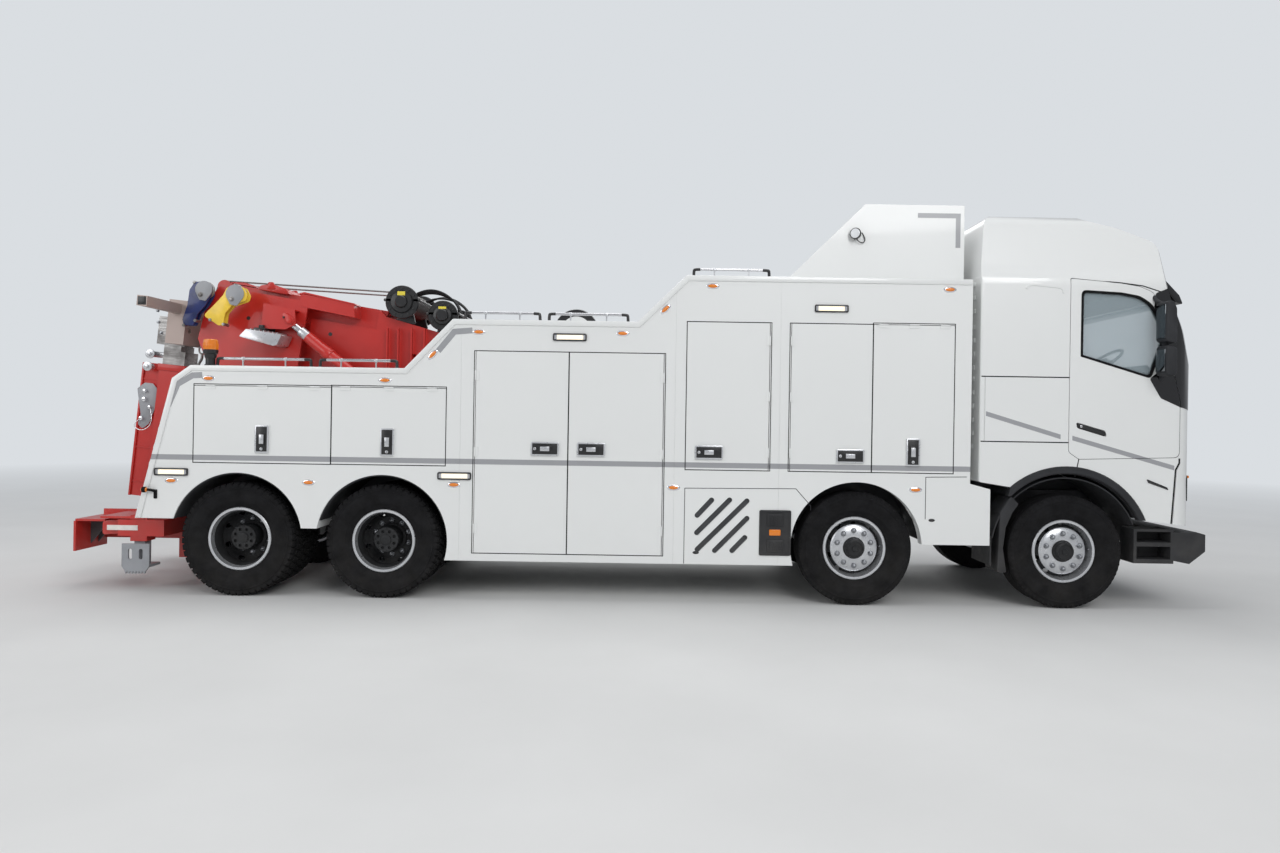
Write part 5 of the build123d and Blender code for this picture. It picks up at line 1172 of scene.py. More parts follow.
def make_interior(sizes):
    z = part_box("cab_interior")[0].z
    for word, side in SIDES:
        piece(f"seat_{word}_base", "cab", "grey_plastic", seat_base(side * SEAT_Y, z))
        for part, shape in zip(("cushion", "back", "head_restraint"), seat_shapes(side * SEAT_Y, z)):
            piece(f"seat_{word}_{part}", "cab", "seat", shape, smooth=60)
    dash = carve(prism(softened(from_floor(DASH, z), 0.04), -1.14, 1.14), cab_form(CAB_SKIN + 0.01), "INTERSECT")
    hood = prism(softened(from_floor(HOOD, z), 0.03), DRIVER_Y - 0.24, DRIVER_Y + 0.24, "Y", 0.015, 3)
    piece("dash", "cab", "plastic", dash, hood, replaces=("cab_interior",), smooth=50)
    screens = [slab((x - 0.006, x + 0.012), (y0, y1), (z + z0, z + z1), 0.004)
               for x, y0, y1, z0, z1 in ((0.724, -0.88, -0.56, 0.838, 0.912), (0.75, -0.34, -0.08, 0.715, 0.825))]
    vents = [slab((0.742, 0.758), (y - 0.05, y + 0.05), (z + 0.77, z + 0.815), 0.004) for y in (-0.98, -0.4, 0.0, 0.98)]
    piece("dash_screens", "cab", "gloss_black", *screens, *vents)
    piece("steering_wheel", "cab", "plastic", steering_wheel(z), smooth=60)
    rear, front = CAB_REAR + CAB_SKIN + 0.01, ahead(-0.262)
    piece("bunk_base", "cab", "grey_plastic", block((rear, front), (-1.1, 1.1), (z, z + 0.285), 0.01))
    piece("bunk_mattress", "cab", "seat",
                    block((rear + 0.005, front - 0.005), (-1.09, 1.09), (z + 0.286, z + 0.42), 0.045, 4), smooth=60)
    piece("cab_liner", "cab", "headliner", cab_liner(), smooth=30)


# Locker body: places on its flanks, from the first axle
WORK_LAMPS = ((-4.716, 2.494), (-2.255, 2.802), (-8.451, 1.17), (-5.784, 1.171))
MARKERS = ((-8.115, 2.055, 0), (-6.452, 2.062, 0), (-6.006, 2.311, 46), (-5.575, 2.531, 0), (-4.218, 2.538, 0),
           (-3.819, 2.774, 44), (-3.377, 2.997, 0), (-1.143, 2.998, 0), (-8.452, 1.087, 0), (-7.158, 1.088, 0),
           (-5.788, 1.088, 0), (-3.719, 1.093, 0), (-1.438, 1.107, 0))
LATCHES = {1: (-7.6, 1.49, 0.13, 0.26), 2: (-6.42, 1.48, 0.13, 0.26), 3: (-4.935, 1.44, 0.265, 0.13),
           4: (-4.5, 1.44, 0.265, 0.13), 5: (-3.39, 1.43, 0.265, 0.13), 6: (-2.06, 1.415, 0.265, 0.13),
           7: (-1.47, 1.46, 0.13, 0.26)}
ROOF_EDGE = ((-8.79, 0.73), (-8.456, 2.053), (-8.284, 2.178), (-6.27, 2.178), (-5.82, 2.65), (-4.08, 2.65),
             (-3.622, 3.096), (-0.925, 3.096))
CHEVRONS = (((-8.492, 1.79), (-8.405, 1.997), (-8.265, 2.08), (-8.175, 2.086)),
            ((-5.955, 2.345), (-5.805, 2.53), (-5.635, 2.545)))
PANEL_LINES = (((-3.612, 1.09), (-2.565, 1.1), (-2.424, 0.943), (-2.424, 0.9)), ((-3.612, 1.09), (-3.612, 0.38)),
               ((-1.343, 0.831), (-1.343, 1.228), (-0.957, 1.236)))
LOCKER_SKIN = 0.03
FRONT_GUARD = ((-0.64, 0.33), (-0.548, 0.33), (-0.585, 0.56), (-0.56, 0.76), (-0.5, 0.9), (-0.44, 0.985), (-0.52, 1.06),
               (-0.62, 0.9))
RAILS = ((-8.1, -7.18, 2.178), (-7.12, -6.36, 2.178), (-5.74, -5.0, 2.65), (-4.94, -4.16, 2.65), (-3.566, -2.82, 3.096))


def oval(x, z, width, height, face, thick, tilt=0.0):
    """A domed oval on a flank, in line with the truck or tilted by degrees."""
    shape = dome((0, 0, 0), "Y", 1.0, 1.0, 24)
    bmesh.ops.scale(shape, vec=(width / 2, thick, height / 2), verts=shape.verts)
    shape = turned(shape, (0, 0, 0), "Y", -math.radians(tilt))
    return moved(shape, ahead(x), face, z)


def ring_plate(x, z, width, height, wall, face, thick, edge=0.004):
    """A rectangular frame that stands proud of a flank."""
    outer = prism(contour(((x - width / 2, z - height / 2), (x + width / 2, z - height / 2),
                           (x + width / 2, z + height / 2), (x - width / 2, z + height / 2)), 0.015, steps=3),
                  face - 0.002, face + thick, "Y", edge)
    w, h = width / 2 - wall, height / 2 - wall
    return carve(outer, slab((x - w, x + w), (face - 0.01, face + thick + 0.01), (z - h, z + h)))


def make_body_lamps():
    face = BODY_FACE
    frames, lamps, bezels, ambers, ribs = [], [], [], [], []
    for x, z in WORK_LAMPS:
        frames.append(ring_plate(x, z, 0.318, 0.072, 0.012, face, 0.016))
        lamps.append(slab((x - 0.12, x + 0.12), (face, face + 0.01), (z - 0.022, z + 0.022), 0.006))
        ribs += [slab((x + s * 0.137 - 0.012, x + s * 0.137 + 0.012), (face, face + 0.011), (z - 0.024, z + 0.024),
                      0.003, 1) for s in (-1, 1)]
    for x, z, tilt in MARKERS:
        bezels.append(oval(x, z, 0.128, 0.056, face - 0.001, 0.01, tilt))
        ambers.append(oval(x, z, 0.092, 0.036, face + 0.003, 0.014, tilt))
    mirrored_pieces("chassis", ("work_lamp_frames", "black", *frames), ("work_lamp_ends", "chrome", *ribs),
                    ("work_lamps", "lamp", *lamps), ("marker_bezels", "chrome", *bezels),
                    ("marker_lamps", "amber", *ambers))


def make_latches():
    """A framed recess with a paddle and a key cylinder on each locker door."""
    for number, (x, z, width, height) in LATCHES.items():
        face = BODY_FACE + 0.014
        frame_plate = ring_plate(x, z, width, height, 0.014, face - 0.008, 0.012, 0.003)
        dish = slab((x - width / 2 + 0.012, x + width / 2 - 0.012), (face - 0.01, face + 0.0005),
                    (z - height / 2 + 0.012, z + height / 2 - 0.012), 0.002)
        tall = height > width
        a, b = (0.03, 0.062) if tall else (0.062, 0.03)
        paddle = slab((x - a, x + a), (face, face + 0.01), (z - b, z + b), 0.006, 3)
        lip = slab((x - a * 0.7, x + a * 0.7), (face + 0.008, face + 0.013), (z - b * 0.7, z + b * 0.7), 0.003)
        key_at = (ahead(x), face + 0.004, z - 0.092) if tall else (ahead(x - 0.095), face + 0.004, z)
        key = rod(key_at, "Y", 0.014, 0.014, 20, 0.002)
        slit = block((key_at[0] - 0.0015, key_at[0] + 0.0015), (face + 0.006, face + 0.0125),
                     (key_at[2] - 0.008, key_at[2] + 0.008))
        for word, side in SIDES:
            body = f"locker_door_{word}_{number}"
            piece(f"latch_frame_{word}_{number}", body, "silver", on_side(together(frame_plate, key, lip), side))
            piece(f"latch_dish_{word}_{number}", body, "black", on_side(together(dish, paddle, slit), side))


def on_side(shape, side):
    """A shape drawn on the left, put on that side."""
    return shape if side > 0 else mirrored(shape)


def make_body(sizes):
    face = BODY_FACE
    foot_z, front_x = ROOF_EDGE[0][1], ROOF_EDGE[-1][0]
    edge_line = inset(from_axle((*ROOF_EDGE, (front_x, foot_z))), 0.026)[:-1]
    edge_line[0] = (edge_line[0][0], foot_z + 0.005)
    edge_line[-1] = (ahead(front_x), edge_line[-1][1])
    rail = prism(strip(edge_line, 0.054), face - 0.03, face + 0.012, "Y", 0.008, 2)
    piece("body_edge_rail", "chassis", "white", rail, mirror=True)
    flats = [prism(strip(from_axle(line), 0.055), face - 0.001, face + 0.0012) for line in CHEVRONS]
    front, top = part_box("top_fairing")[1].x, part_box("top_fairing")[1].z
    flats.append(prism([(ahead(-1.372), top - 0.08), (front - 0.04, top - 0.08), (front - 0.04, top - 0.414),
                        (front - 0.086, top - 0.414), (front - 0.086, top - 0.126), (ahead(-1.372), top - 0.126)],
                       0.999, 1.0012))
    piece("grey_bands", "chassis", "stripe", *flats, mirror=True)
    lines = [prism(strip(from_axle(line), 0.006), face - 0.002, face + 0.0008) for line in PANEL_LINES]
    piece("panel_lines", "chassis", "plastic", *lines, mirror=True)
    # A dark plate inside the locker behind the vent slots: painted shade seen through them
    shade_plate = slab((-3.56, -2.95), (face - 0.036, face - LOCKER_SKIN), (0.44, 1.05))
    piece("vent_backs", "chassis", "chassis", shade_plate, mirror=True)
    recess = ring_plate(-2.757, 0.682, 0.3, 0.428, 0.018, face, 0.014, 0.005)
    back = slab((-2.89, -2.624), (face - 0.001, face + 0.0095), (0.484, 0.88))
    cells = [slab((-2.836, -2.678), (face, face + 0.02), (z, z + 0.12), 0.012) for z in (0.745, 0.5)]
    grips = [slab((-2.836 + 0.02 * i, -2.828 + 0.02 * i), (face + 0.018, face + 0.024), (z + 0.02, z + 0.1), 0.002, 1)
             for i in range(1, 8) for z in (0.745, 0.5)]
    piece("battery_switch_box", "chassis", "plastic", recess, back, *cells, *grips, mirror=True)
    piece("battery_switch_lamp", "chassis", "amber",
          slab((-2.813, -2.704), (face, face + 0.016), (0.656, 0.714), 0.008), mirror=True)
    locks = [oval(x, z, 0.062, 0.03, face - 0.001, 0.01) for x, z in ((-3.5, 0.485), (-1.282, 0.822))]
    piece("small_locks", "chassis", "black", *locks, mirror=True)
    seals = []
    for number in LATCHES:
        low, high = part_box(f"locker_door_left_{number}")
        seals.append(carve(block((low.x - 0.0085, high.x + 0.0085), (face - 0.022, face + 0.0006),
                                 (low.z - 0.0085, high.z + 0.0085)),
                           block((low.x - 0.001, high.x + 0.001), (face - 0.05, face + 0.05),
                                 (low.z - 0.001, high.z + 0.001))))
    piece("locker_seals", "chassis", "rubber", *seals, mirror=True)
    tail = prism(contour(FRONT_GUARD, 0.02), 0.93, 1.225, "Y", 0.008)
    piece("front_mudguard_tails", "chassis", "plastic", tail, mirror=True)
    make_body_lamps()
    make_latches()
    make_roof_gear()
    make_rear_lamps()


def make_roof_gear():
    """Hand rails, beacons, hose reel, and the lamp and aerial of the fairing."""
    y = BODY_FACE - 0.11
    tubes, ends, feet = [], [], []
    for rear, front, roof in RAILS:
        z = roof + 0.075
        tubes.append(rod((ahead((rear + front) / 2), y, z), "X", 0.0135, front - rear - 0.1, 20))
        for x, inward in ((rear, 1), (front, -1)):
            bend = path((x + inward * 0.075, y, z), (x + inward * 0.025, y, z), (x + inward * 0.013, y, z - 0.012),
                        (x + inward * 0.013, y, roof + 0.002))
            ends.append(pipe(bend, 0.0145))
            feet.append(rod((ahead(x + inward * 0.013), y, roof + 0.004), "Z", 0.026, 0.008, 20, 0.002))
        for share in (0.28, 0.72):
            x = ahead(rear + (front - rear) * share)
            feet.append(rod((x, y, z), "X", 0.0165, 0.03, 20, 0.003))
            feet.append(block((x - 0.006, x + 0.006), (y - 0.01, y + 0.01), (roof, z), 0.003, 1))
    piece("hand_rail_tubes", "chassis", "tube", *tubes, mirror=True, replaces=("hand_rails",))
    piece("hand_rail_ends", "chassis", "black", *ends, mirror=True)
    piece("hand_rail_feet", "chassis", "silver", *feet, mirror=True)
    x, y, z = ahead(-8.15), BODY_FACE - 0.1, 2.178
    base = lathe([(0, 0), (0.05, 0), (0.054, 0.01), (0.0435, 0.016), (0.0435, 0.07), (0.052, 0.08), (0.056, 0.11),
                  (0.066, 0.118), (0.068, 0.15), (0.062, 0.156), (0, 0.156)], (x, y, z), "Z", 32)
    lens = lathe([(0, 0.155), (0.064, 0.155), (0.066, 0.165), (0.066, 0.215), (0.064, 0.246), (0.056, 0.252),
                  (0, 0.253)], (x, y, z), "Z", 40)
    fins = around(block((x + 0.062, x + 0.0685), (y - 0.002, y + 0.002), (z + 0.165, z + 0.215), 0.001, 1), (x, y, z),
                  "Z", 24)
    piece("beacon_bases", "chassis", "black", base, mirror=True)
    piece("beacon_lenses", "chassis", "amber", lens, fins, mirror=True)
    reel_at = (ahead(-4.688), 0.84, 2.584)
    flange = [(0.15, 0.0755), (0.216, 0.0755), (0.2205, 0.072), (0.2205, 0.064), (0.192, 0.0615)]
    reel = lathe([(r, -y) for r, y in flange] + flange[::-1] + [(0.15, -0.0755)], reel_at, "Y", 64)
    turns = [hoop(0.2, 0.01, 8, (reel_at[0], reel_at[1] - 0.05 + 0.02 * i, reel_at[2]), "Y", 64) for i in range(6)]
    piece("hose_reels", "chassis", "black", reel, mirror=True)
    piece("hose_turns", "chassis", "hose", *turns, mirror=True)
    make_fairing_gear()


def make_fairing_gear():
    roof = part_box("top_fairing")[1].z
    lamp_at = Vector((ahead(-1.985), 1.0, 3.56))
    shell = lathe([(0, -0.035), (0.03, -0.032), (0.052, -0.01), (0.055, 0.02), (0.05, 0.024), (0, 0.02)],
                  lamp_at + Vector((0, 0.05, 0)), "Y", 32)
    shell = turned(shell, lamp_at + Vector((0, 0.05, 0)), "Z", 0.5)
    bracket = block((lamp_at.x - 0.006, lamp_at.x + 0.006), (0.995, 1.03), (lamp_at.z - 0.05, lamp_at.z + 0.05), 0.004)
    loop = pipe([lamp_at + Vector(p)
                 for p in ((0, 0.03, -0.03), (0.03, 0.03, -0.075), (0.085, 0.02, -0.085), (0.105, 0.012, -0.035),
                           (0.07, 0.002, 0.02))], 0.005)
    piece("fairing_lamps", "chassis", "black", shell, bracket, loop, mirror=True)
    glass_at = lamp_at + Vector((-0.012, 0.071, 0))
    piece("fairing_lamp_lenses", "chassis", "clear_lens",
          turned(dome(glass_at, "Y", 0.046, 0.006, 24), glass_at, "Z", 0.5), mirror=True)
    x = ahead(-1.591)
    horn = lathe([(0, 0), (0.06, 0), (0.06, 0.012), (0.04, 0.022), (0.04, 0.04), (0.075, 0.044), (0.08, 0.054),
                  (0.07, 0.068), (0.03, 0.078), (0, 0.08)], (x, 0.45, roof - 0.001), "Z", 32)
    piece("roof_vent", "chassis", "white", horn, mirror=True)


def make_rear_lamps():
    """Round lamps up the slanted rear edge, and a marker lamp on a rubber arm."""
    (foot_x, foot_z), (top_x, top_z) = ROOF_EDGE[:2]
    slope = (top_x - foot_x) / (top_z - foot_z)
    rings, reds, ambers, whites = [], [], [], []
    for z, group in ((1.55, reds), (1.379, ambers), (1.222, whites)):
        x = ahead(foot_x) + (z - foot_z) * slope
        at = (x, BODY_FACE - 0.12, z)
        rings.append(lathe([(0.07, 0.02), (0.07, -0.026), (0.062, -0.035), (0.052, -0.035), (0.05, -0.026),
                            (0.05, 0.02), (0.07, 0.02)], at, "X", 40))
        group.append(dome((x - 0.0265, at[1], z), "X", 0.05, 0.014, 28, -1))
    mirrored_pieces("chassis", ("tail_lamp_rings", "white", *rings), ("tail_lamps", "red_lens", *reds),
                    ("tail_indicators", "amber", *ambers), ("reversing_lamps", "clear_lens", *whites))
    foot = slab((-8.612, -8.58), (BODY_FACE - 0.002, BODY_FACE + 0.012), (0.915, 1.0), 0.006)
    arm = pipe(path((-8.596, BODY_FACE + 0.006, 0.985), (-8.61, BODY_FACE + 0.04, 1.0),
                    (-8.67, BODY_FACE + 0.055, 1.003)), 0.013)
    head = rod((ahead(-8.672), BODY_FACE + 0.055, 1.003), "X", 0.027, 0.036, 20, 0.006)
    piece("outline_lamp_arms", "chassis", "rubber", foot, arm, head, mirror=True)
    piece("outline_lamps", "chassis", "amber",
          dome((ahead(-8.69), BODY_FACE + 0.055, 1.003), "X", 0.022, 0.012, 20, -1),
          dome((ahead(-8.654), BODY_FACE + 0.055, 1.003), "X", 0.022, 0.008, 20, 1), mirror=True)


# Boom: places at rest, from the first axle, beside the boom
PIVOT_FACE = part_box("boom_outer")[1].y
CHEEK_FACE = PIVOT_FACE - 0.13
WINCHES = ((-6.559, 2.917, 0.168), (-6.13, 2.782, 0.152))
BLOCK_PLATES = {"yellow": ((-8.633, 2.742), (-8.56, 2.7), (-8.47, 2.64), (-8.42, 2.655), (-8.405, 2.77), (-8.34, 2.85),
                           (-8.19, 2.905), (-8.174, 2.96), (-8.215, 3.04), (-8.3, 3.067), (-8.39, 3.04), (-8.43, 2.96),
                           (-8.5, 2.88)),
                "navy": ((-8.85, 2.7), (-8.835, 2.64), (-8.735, 2.637), (-8.715, 2.69), (-8.69, 2.76), (-8.61, 2.85),
                         (-8.55, 2.96), (-8.56, 3.06), (-8.63, 3.105), (-8.73, 3.09), (-8.78, 3.01), (-8.8, 2.85)), }
SHEAVES = {"yellow": (-8.3, 2.975, 0.092, (0.6, 0.69)), "navy": (-8.625, 3.015, 0.088, (0.475, 0.56))}
CYLINDER = ((-7.774, 2.751), (-5.953, 1.3))
CYLINDER_Y = 0.5
ROPE_R = 0.0082
ROPE_PITCH = 0.0165


def side_bolt(x, z, face, r=0.016, height=0.012):
    """A bolt head with its washer on a flank."""
    washer = rod((ahead(x), face + 0.002, z), "Y", r * 1.5, 0.006, 20, 0.001)
    return together(washer, hexagon((ahead(x), face + height / 2 + 0.003, z), "Y", r * 1.7, height, 0.002))


def make_blocks():
    """The two hook blocks hung by the boom's head: side plates, a sheave under its cover, pins and bolts."""
    for word in SHEAVES:
        x, z, r, (near, far) = SHEAVES[word]
        line = at_plane(BLOCK_PLATES[word], -far)
        (x, z), = at_plane([(x, z)], -far)
        outline = softened(line, 0.035, 4)
        plates = [prism(outline, y, y + 0.016, "Y", 0.004) for y in (near, far - 0.016)]
        packer = [rod((px, (near + far) / 2, pz), "Y", 0.016, far - near + 0.012, 16, 0.003)
                  for px, pz in (line[1], line[3], line[9])]
        wheel = lathe([(0, -0.016), (r * 0.92, -0.016), (r * 0.98, -0.012), (r * 0.84, 0.0), (r * 0.98, 0.012),
                       (r * 0.92, 0.016), (0, 0.016)], (x, (near + far) / 2, z), "Y", 40)
        cover_line = arc(x, z, r, -30, 200, 16) + [(x - r * 0.5, z - r * 1.2), (x + 0.02, z - r * 1.35)]
        cover = prism(softened(cover_line, 0.02, 3), far, far + 0.014, "Y", 0.004)
        bolt = side_bolt(x - FIRST - 0.03, z - 0.055, far + 0.01, 0.018, 0.016)
        hanger = rod((x, (CHEEK_FACE + far) / 2, z), "Y", 0.026, far - CHEEK_FACE + 0.02, 24, 0.003)
        piece(f"{word}_block_plates", "boom", word, mirrored(together(*plates)),
              replaces=("hook_blocks",) if word == "yellow" else ())
        piece(f"{word}_block_cover", "boom", "grey_paint", mirrored(cover))
        piece(f"{word}_block_sheave", "boom", "steel", mirrored(together(wheel, bolt, hanger, *packer)))


def make_boom_covers():
    """Guard over the boom's top, the long cover's lid, and what stands on the cylinder's pivot box."""
    guard_line = softened([on_boom(a, u)
                           for a, u in ((1.6, 0.32), (1.636, 0.376), (1.79, 0.402), (1.914, 0.368), (1.936, 0.32))],
                          0.04)
    guard = prism(guard_line, -0.303, 0.303, "Y", 0.01, 3)
    ears = [prism(contour(((-8.02, 3.04), (-8.0, 3.118), (-7.945, 3.118), (-7.92, 3.04)), 0.02), y, y + 0.016, "Y",
                  0.003) for y in (-0.308, 0.292)]
    lid = prism(from_axle(((-7.612, 2.988), (-7.56, 2.999), (-7.038, 2.888), (-7.03, 2.872), (-7.56, 2.981),
                           (-7.612, 2.971))), CHEEK_FACE - 0.165, CHEEK_FACE + 0.016, "Y", 0.003)
    teardrop = prism(softened(at_plane(((-7.81, 2.765), (-7.77, 2.79), (-7.69, 2.74), (-7.675, 2.69), (-7.705, 2.66),
                                        (-7.75, 2.665)), -PIVOT_FACE), 0.03), PIVOT_FACE - 0.006, PIVOT_FACE + 0.014,
                     "Y", 0.005)
    (boss_x, boss_z), (pin_x, pin_z) = at_plane(((-7.726, 2.7), (-7.784, 2.736)), -PIVOT_FACE)
    boss = rod((boss_x, PIVOT_FACE + 0.016, boss_z), "Y", 0.03, 0.02, 24, 0.005)
    piece("boom_head_guards", "boom", "red", guard, *ears)
    piece("boom_side_covers", "boom", "red", lid, teardrop, boss, mirror=True)
    # Black discs on the cheeks stand for holes: painted shade in them, with the black pin end beside them
    holes = [rod((ahead(x), CHEEK_FACE - 0.001, z), "Y", 0.02, 0.006, 20) for x, z in ((-8.144, 2.72), (-7.29, 2.566))]
    pin_end = rod((pin_x, PIVOT_FACE + 0.015, pin_z), "Y", 0.012, 0.012, 16, 0.003)
    piece("boom_holes", "boom", "black", *holes, pin_end, mirror=True)


def make_flood_lamps():
    """A flat work light hung under the pivot box on a black bracket."""
    plate = prism(softened(at_plane(((-8.195, 2.52), (-8.12, 2.599), (-7.753, 2.545), (-7.8, 2.44), (-7.84, 2.428)),
                                    -0.6), 0.012), CHEEK_FACE + 0.03, CHEEK_FACE + 0.3, "Y", 0.006)
    (fin_x, fin_z), = at_plane([(-8.09, 2.588)], -0.6)
    fins = [block((fin_x + 0.045 * i, fin_x + 0.045 * i + 0.008), (CHEEK_FACE + 0.05, CHEEK_FACE + 0.28),
                  (fin_z - 0.0063 * i, fin_z + 0.018 - 0.0063 * i), 0.002, 1) for i in range(7)]
    piece("flood_lamp_plates", "boom", "silver", plate, *fins, mirror=True)
    bracket = together(slab((-8.02, -7.86), (CHEEK_FACE - 0.002, CHEEK_FACE + 0.02), (2.5, 2.63), 0.006),
                       slab((-8.0, -7.88), (CHEEK_FACE + 0.01, CHEEK_FACE + 0.2), (2.575, 2.605), 0.008),
                       rod((ahead(-7.94), CHEEK_FACE + 0.14, 2.61), "Z", 0.03, 0.05, 20, 0.006))
    piece("flood_lamp_brackets", "boom", "black", bracket, mirror=True)


def make_cylinders():
    """Each lift cylinder: rod, bright sleeve, red barrel with its glands, and the foot that it stands on."""
    def point(share):
        (x0, z0), (x1, z1) = CYLINDER
        return Vector((ahead(x0 + (x1 - x0) * share), CYLINDER_Y, z0 + (z1 - z0) * share))

    chrome = strut(point(0.02), point(0.2), 0.0375, 28)
    eye = rod(point(0.0), "Y", 0.064, 0.079, 32, 0.004)
    piece("lift_cylinder_rods", "chassis", "chrome", chrome, mirror=True)
    barrel_parts = [strut(point(0.153), point(0.97), 0.06, 32, 0.004),
                    strut(point(0.25), point(0.285), 0.066, 28, 0.004),
                    strut(point(0.9), point(0.93), 0.064, 28, 0.004)]
    foot = rod(point(1.0), "Y", 0.072, 0.083, 32, 0.004)
    piece("lift_cylinders", "chassis", "red", eye, foot, *barrel_parts, mirror=True)
    piece("lift_cylinder_sleeves", "chassis", "silver", strut(point(0.113), point(0.172), 0.052, 32, 0.004),
          mirror=True)


def wound_drum(x, z, r):
    """Flanges, wraps of rope and end caps of one winch across the truck."""
    flange = lathe([(0.06, 0.372), (r, 0.372), (r + 0.006, 0.38), (r + 0.006, 0.392), (r, 0.4), (r - 0.05, 0.4),
                    (r - 0.056, 0.408), (r - 0.06, 0.424), (0.066, 0.43), (0.06, 0.424), (0.06, 0.372)], (x, 0, z), "Y",
                   56)
    cap = lathe([(0, 0.4), (0.062, 0.4), (0.062, 0.446), (0.054, 0.454), (0, 0.454)], (x, 0, z), "Y", 32)
    bolt = hexagon((x + r - 0.028, 0.403, z), "Y", 0.016, 0.01, 0.001)
    bolts = around(bolt, (x, 0, z), "Y", 12)
    core = rod((x, 0, z), "Y", r - 0.062, 0.75, 40)
    return together(both(together(flange, cap, bolts)), core)


def rope_wraps(x, z, r):
    """The rope's turns on a drum, side by side."""
    half = 0.36
    ring = hoop(r - 0.046, ROPE_R, 6, (x, 0, z), "Y", 28)
    return together(*[moved(ring, y=-half + ROPE_PITCH * (i + 0.5)) for i in range(int(2 * half / ROPE_PITCH))])


def make_winches(sizes):
    for number, (dx, z, r) in enumerate(WINCHES, 1):
        x = ahead(dx)
        feet = both(prism(softened([(x - 0.1, z - r - 0.03), (x + 0.11, z - r - 0.05), (x + 0.05, z + 0.03),
                                    (x - 0.04, z + 0.03)], 0.02), 0.232, 0.262, "Y", 0.004))
        guard = [strut((x + s * (r + 0.012), -0.395, z + 0.02), (x + s * (r + 0.012), 0.395, z + 0.02), 0.013, 12)
                 for s in (-1, 1)]
        bars = [both(block((x - r - 0.02, x + r + 0.02), (0.392, 0.4), (z + 0.005, z + 0.035), 0.003))]
        piece(f"winch_{number}_drum", "boom", "black", wound_drum(x, z, r), feet, *guard, *bars,
              replaces=("winches",) if number == 1 else ())
        piece(f"winch_{number}_rope", "boom", "rope", rope_wraps(x, z, r))
        tag = block((x - 0.04, x + 0.04), (0.424, 0.4315), (z + 0.065, z + r - 0.062), 0.001, 1)
        piece(f"winch_{number}_labels", "boom", "label", tag, mirror=True)
    make_ropes_and_hoses()


def make_ropes_and_hoses():
    ropes = []
    for side in (-1, 1):
        y = side * 0.16
        start = Vector((ahead(-6.62), y, 3.045))
        head = Vector((ahead(-8.523), y, 3.142))
        ropes.append(strut(start, head, 0.0085, 8))
        down = [head, (ahead(-8.59), y, 3.112), (ahead(-8.612), y, 3.05), (ahead(-8.7), y, 2.8),
                (ahead(-8.76), y, 2.49)]
        ropes.append(pipe(down, 0.0085))
    piece("boom_ropes", "boom", "rope", *ropes)
    hooks = []
    for side in (-1, 1):
        at = Vector((ahead(-8.762), side * 0.16, 2.46))
        sleeve = rod(at + Vector((0, 0, 0.02)), "Z", 0.017, 0.1, 16, 0.003)
        ring = pipe([at + Vector((0.034 * math.cos(t), 0, -0.06 + 0.045 * math.sin(t)))
                     for t in [math.tau * k / 10 + 0.3 for k in range(11)]], 0.009)
        hook = pipe([at + Vector(p)
                     for p in ((0, 0, -0.1), (0.004, 0, -0.15), (-0.03, 0, -0.2), (-0.045, 0, -0.245), (0.0, 0, -0.275),
                               (0.045, 0, -0.25), (0.05, 0, -0.215))], 0.014, True, 5)
        hooks += [sleeve, ring, hook]
    piece("boom_hooks", "boom", "steel", *hooks)
    hoses = []
    for side in (-1, 1):
        for k in range(3):
            y = side * (0.2 + 0.045 * k)
            hoses.append(pipe(path((-6.47, y, 3.0), (-6.36, y, 3.045 + 0.01 * k), (-6.18, y, 3.03 + 0.012 * k),
                                   (-6.02, y, 2.94), (-5.965, y, 2.8), (-5.98, y, 2.64)), 0.011))
    piece("winch_hoses", "boom", "hose", *hoses)


def make_boom(sizes):
    make_boom_covers()
    make_blocks()
    make_flood_lamps()
    make_cylinders()


# Underlift and tail
LATCH_PLATE = ((1.321, -0.293), (1.322, -0.203), (1.271, -0.155), (1.091, -0.145), (0.885, -0.201), (0.823, -0.265),
               (0.873, -0.32), (0.976, -0.3), (1.251, -0.366))


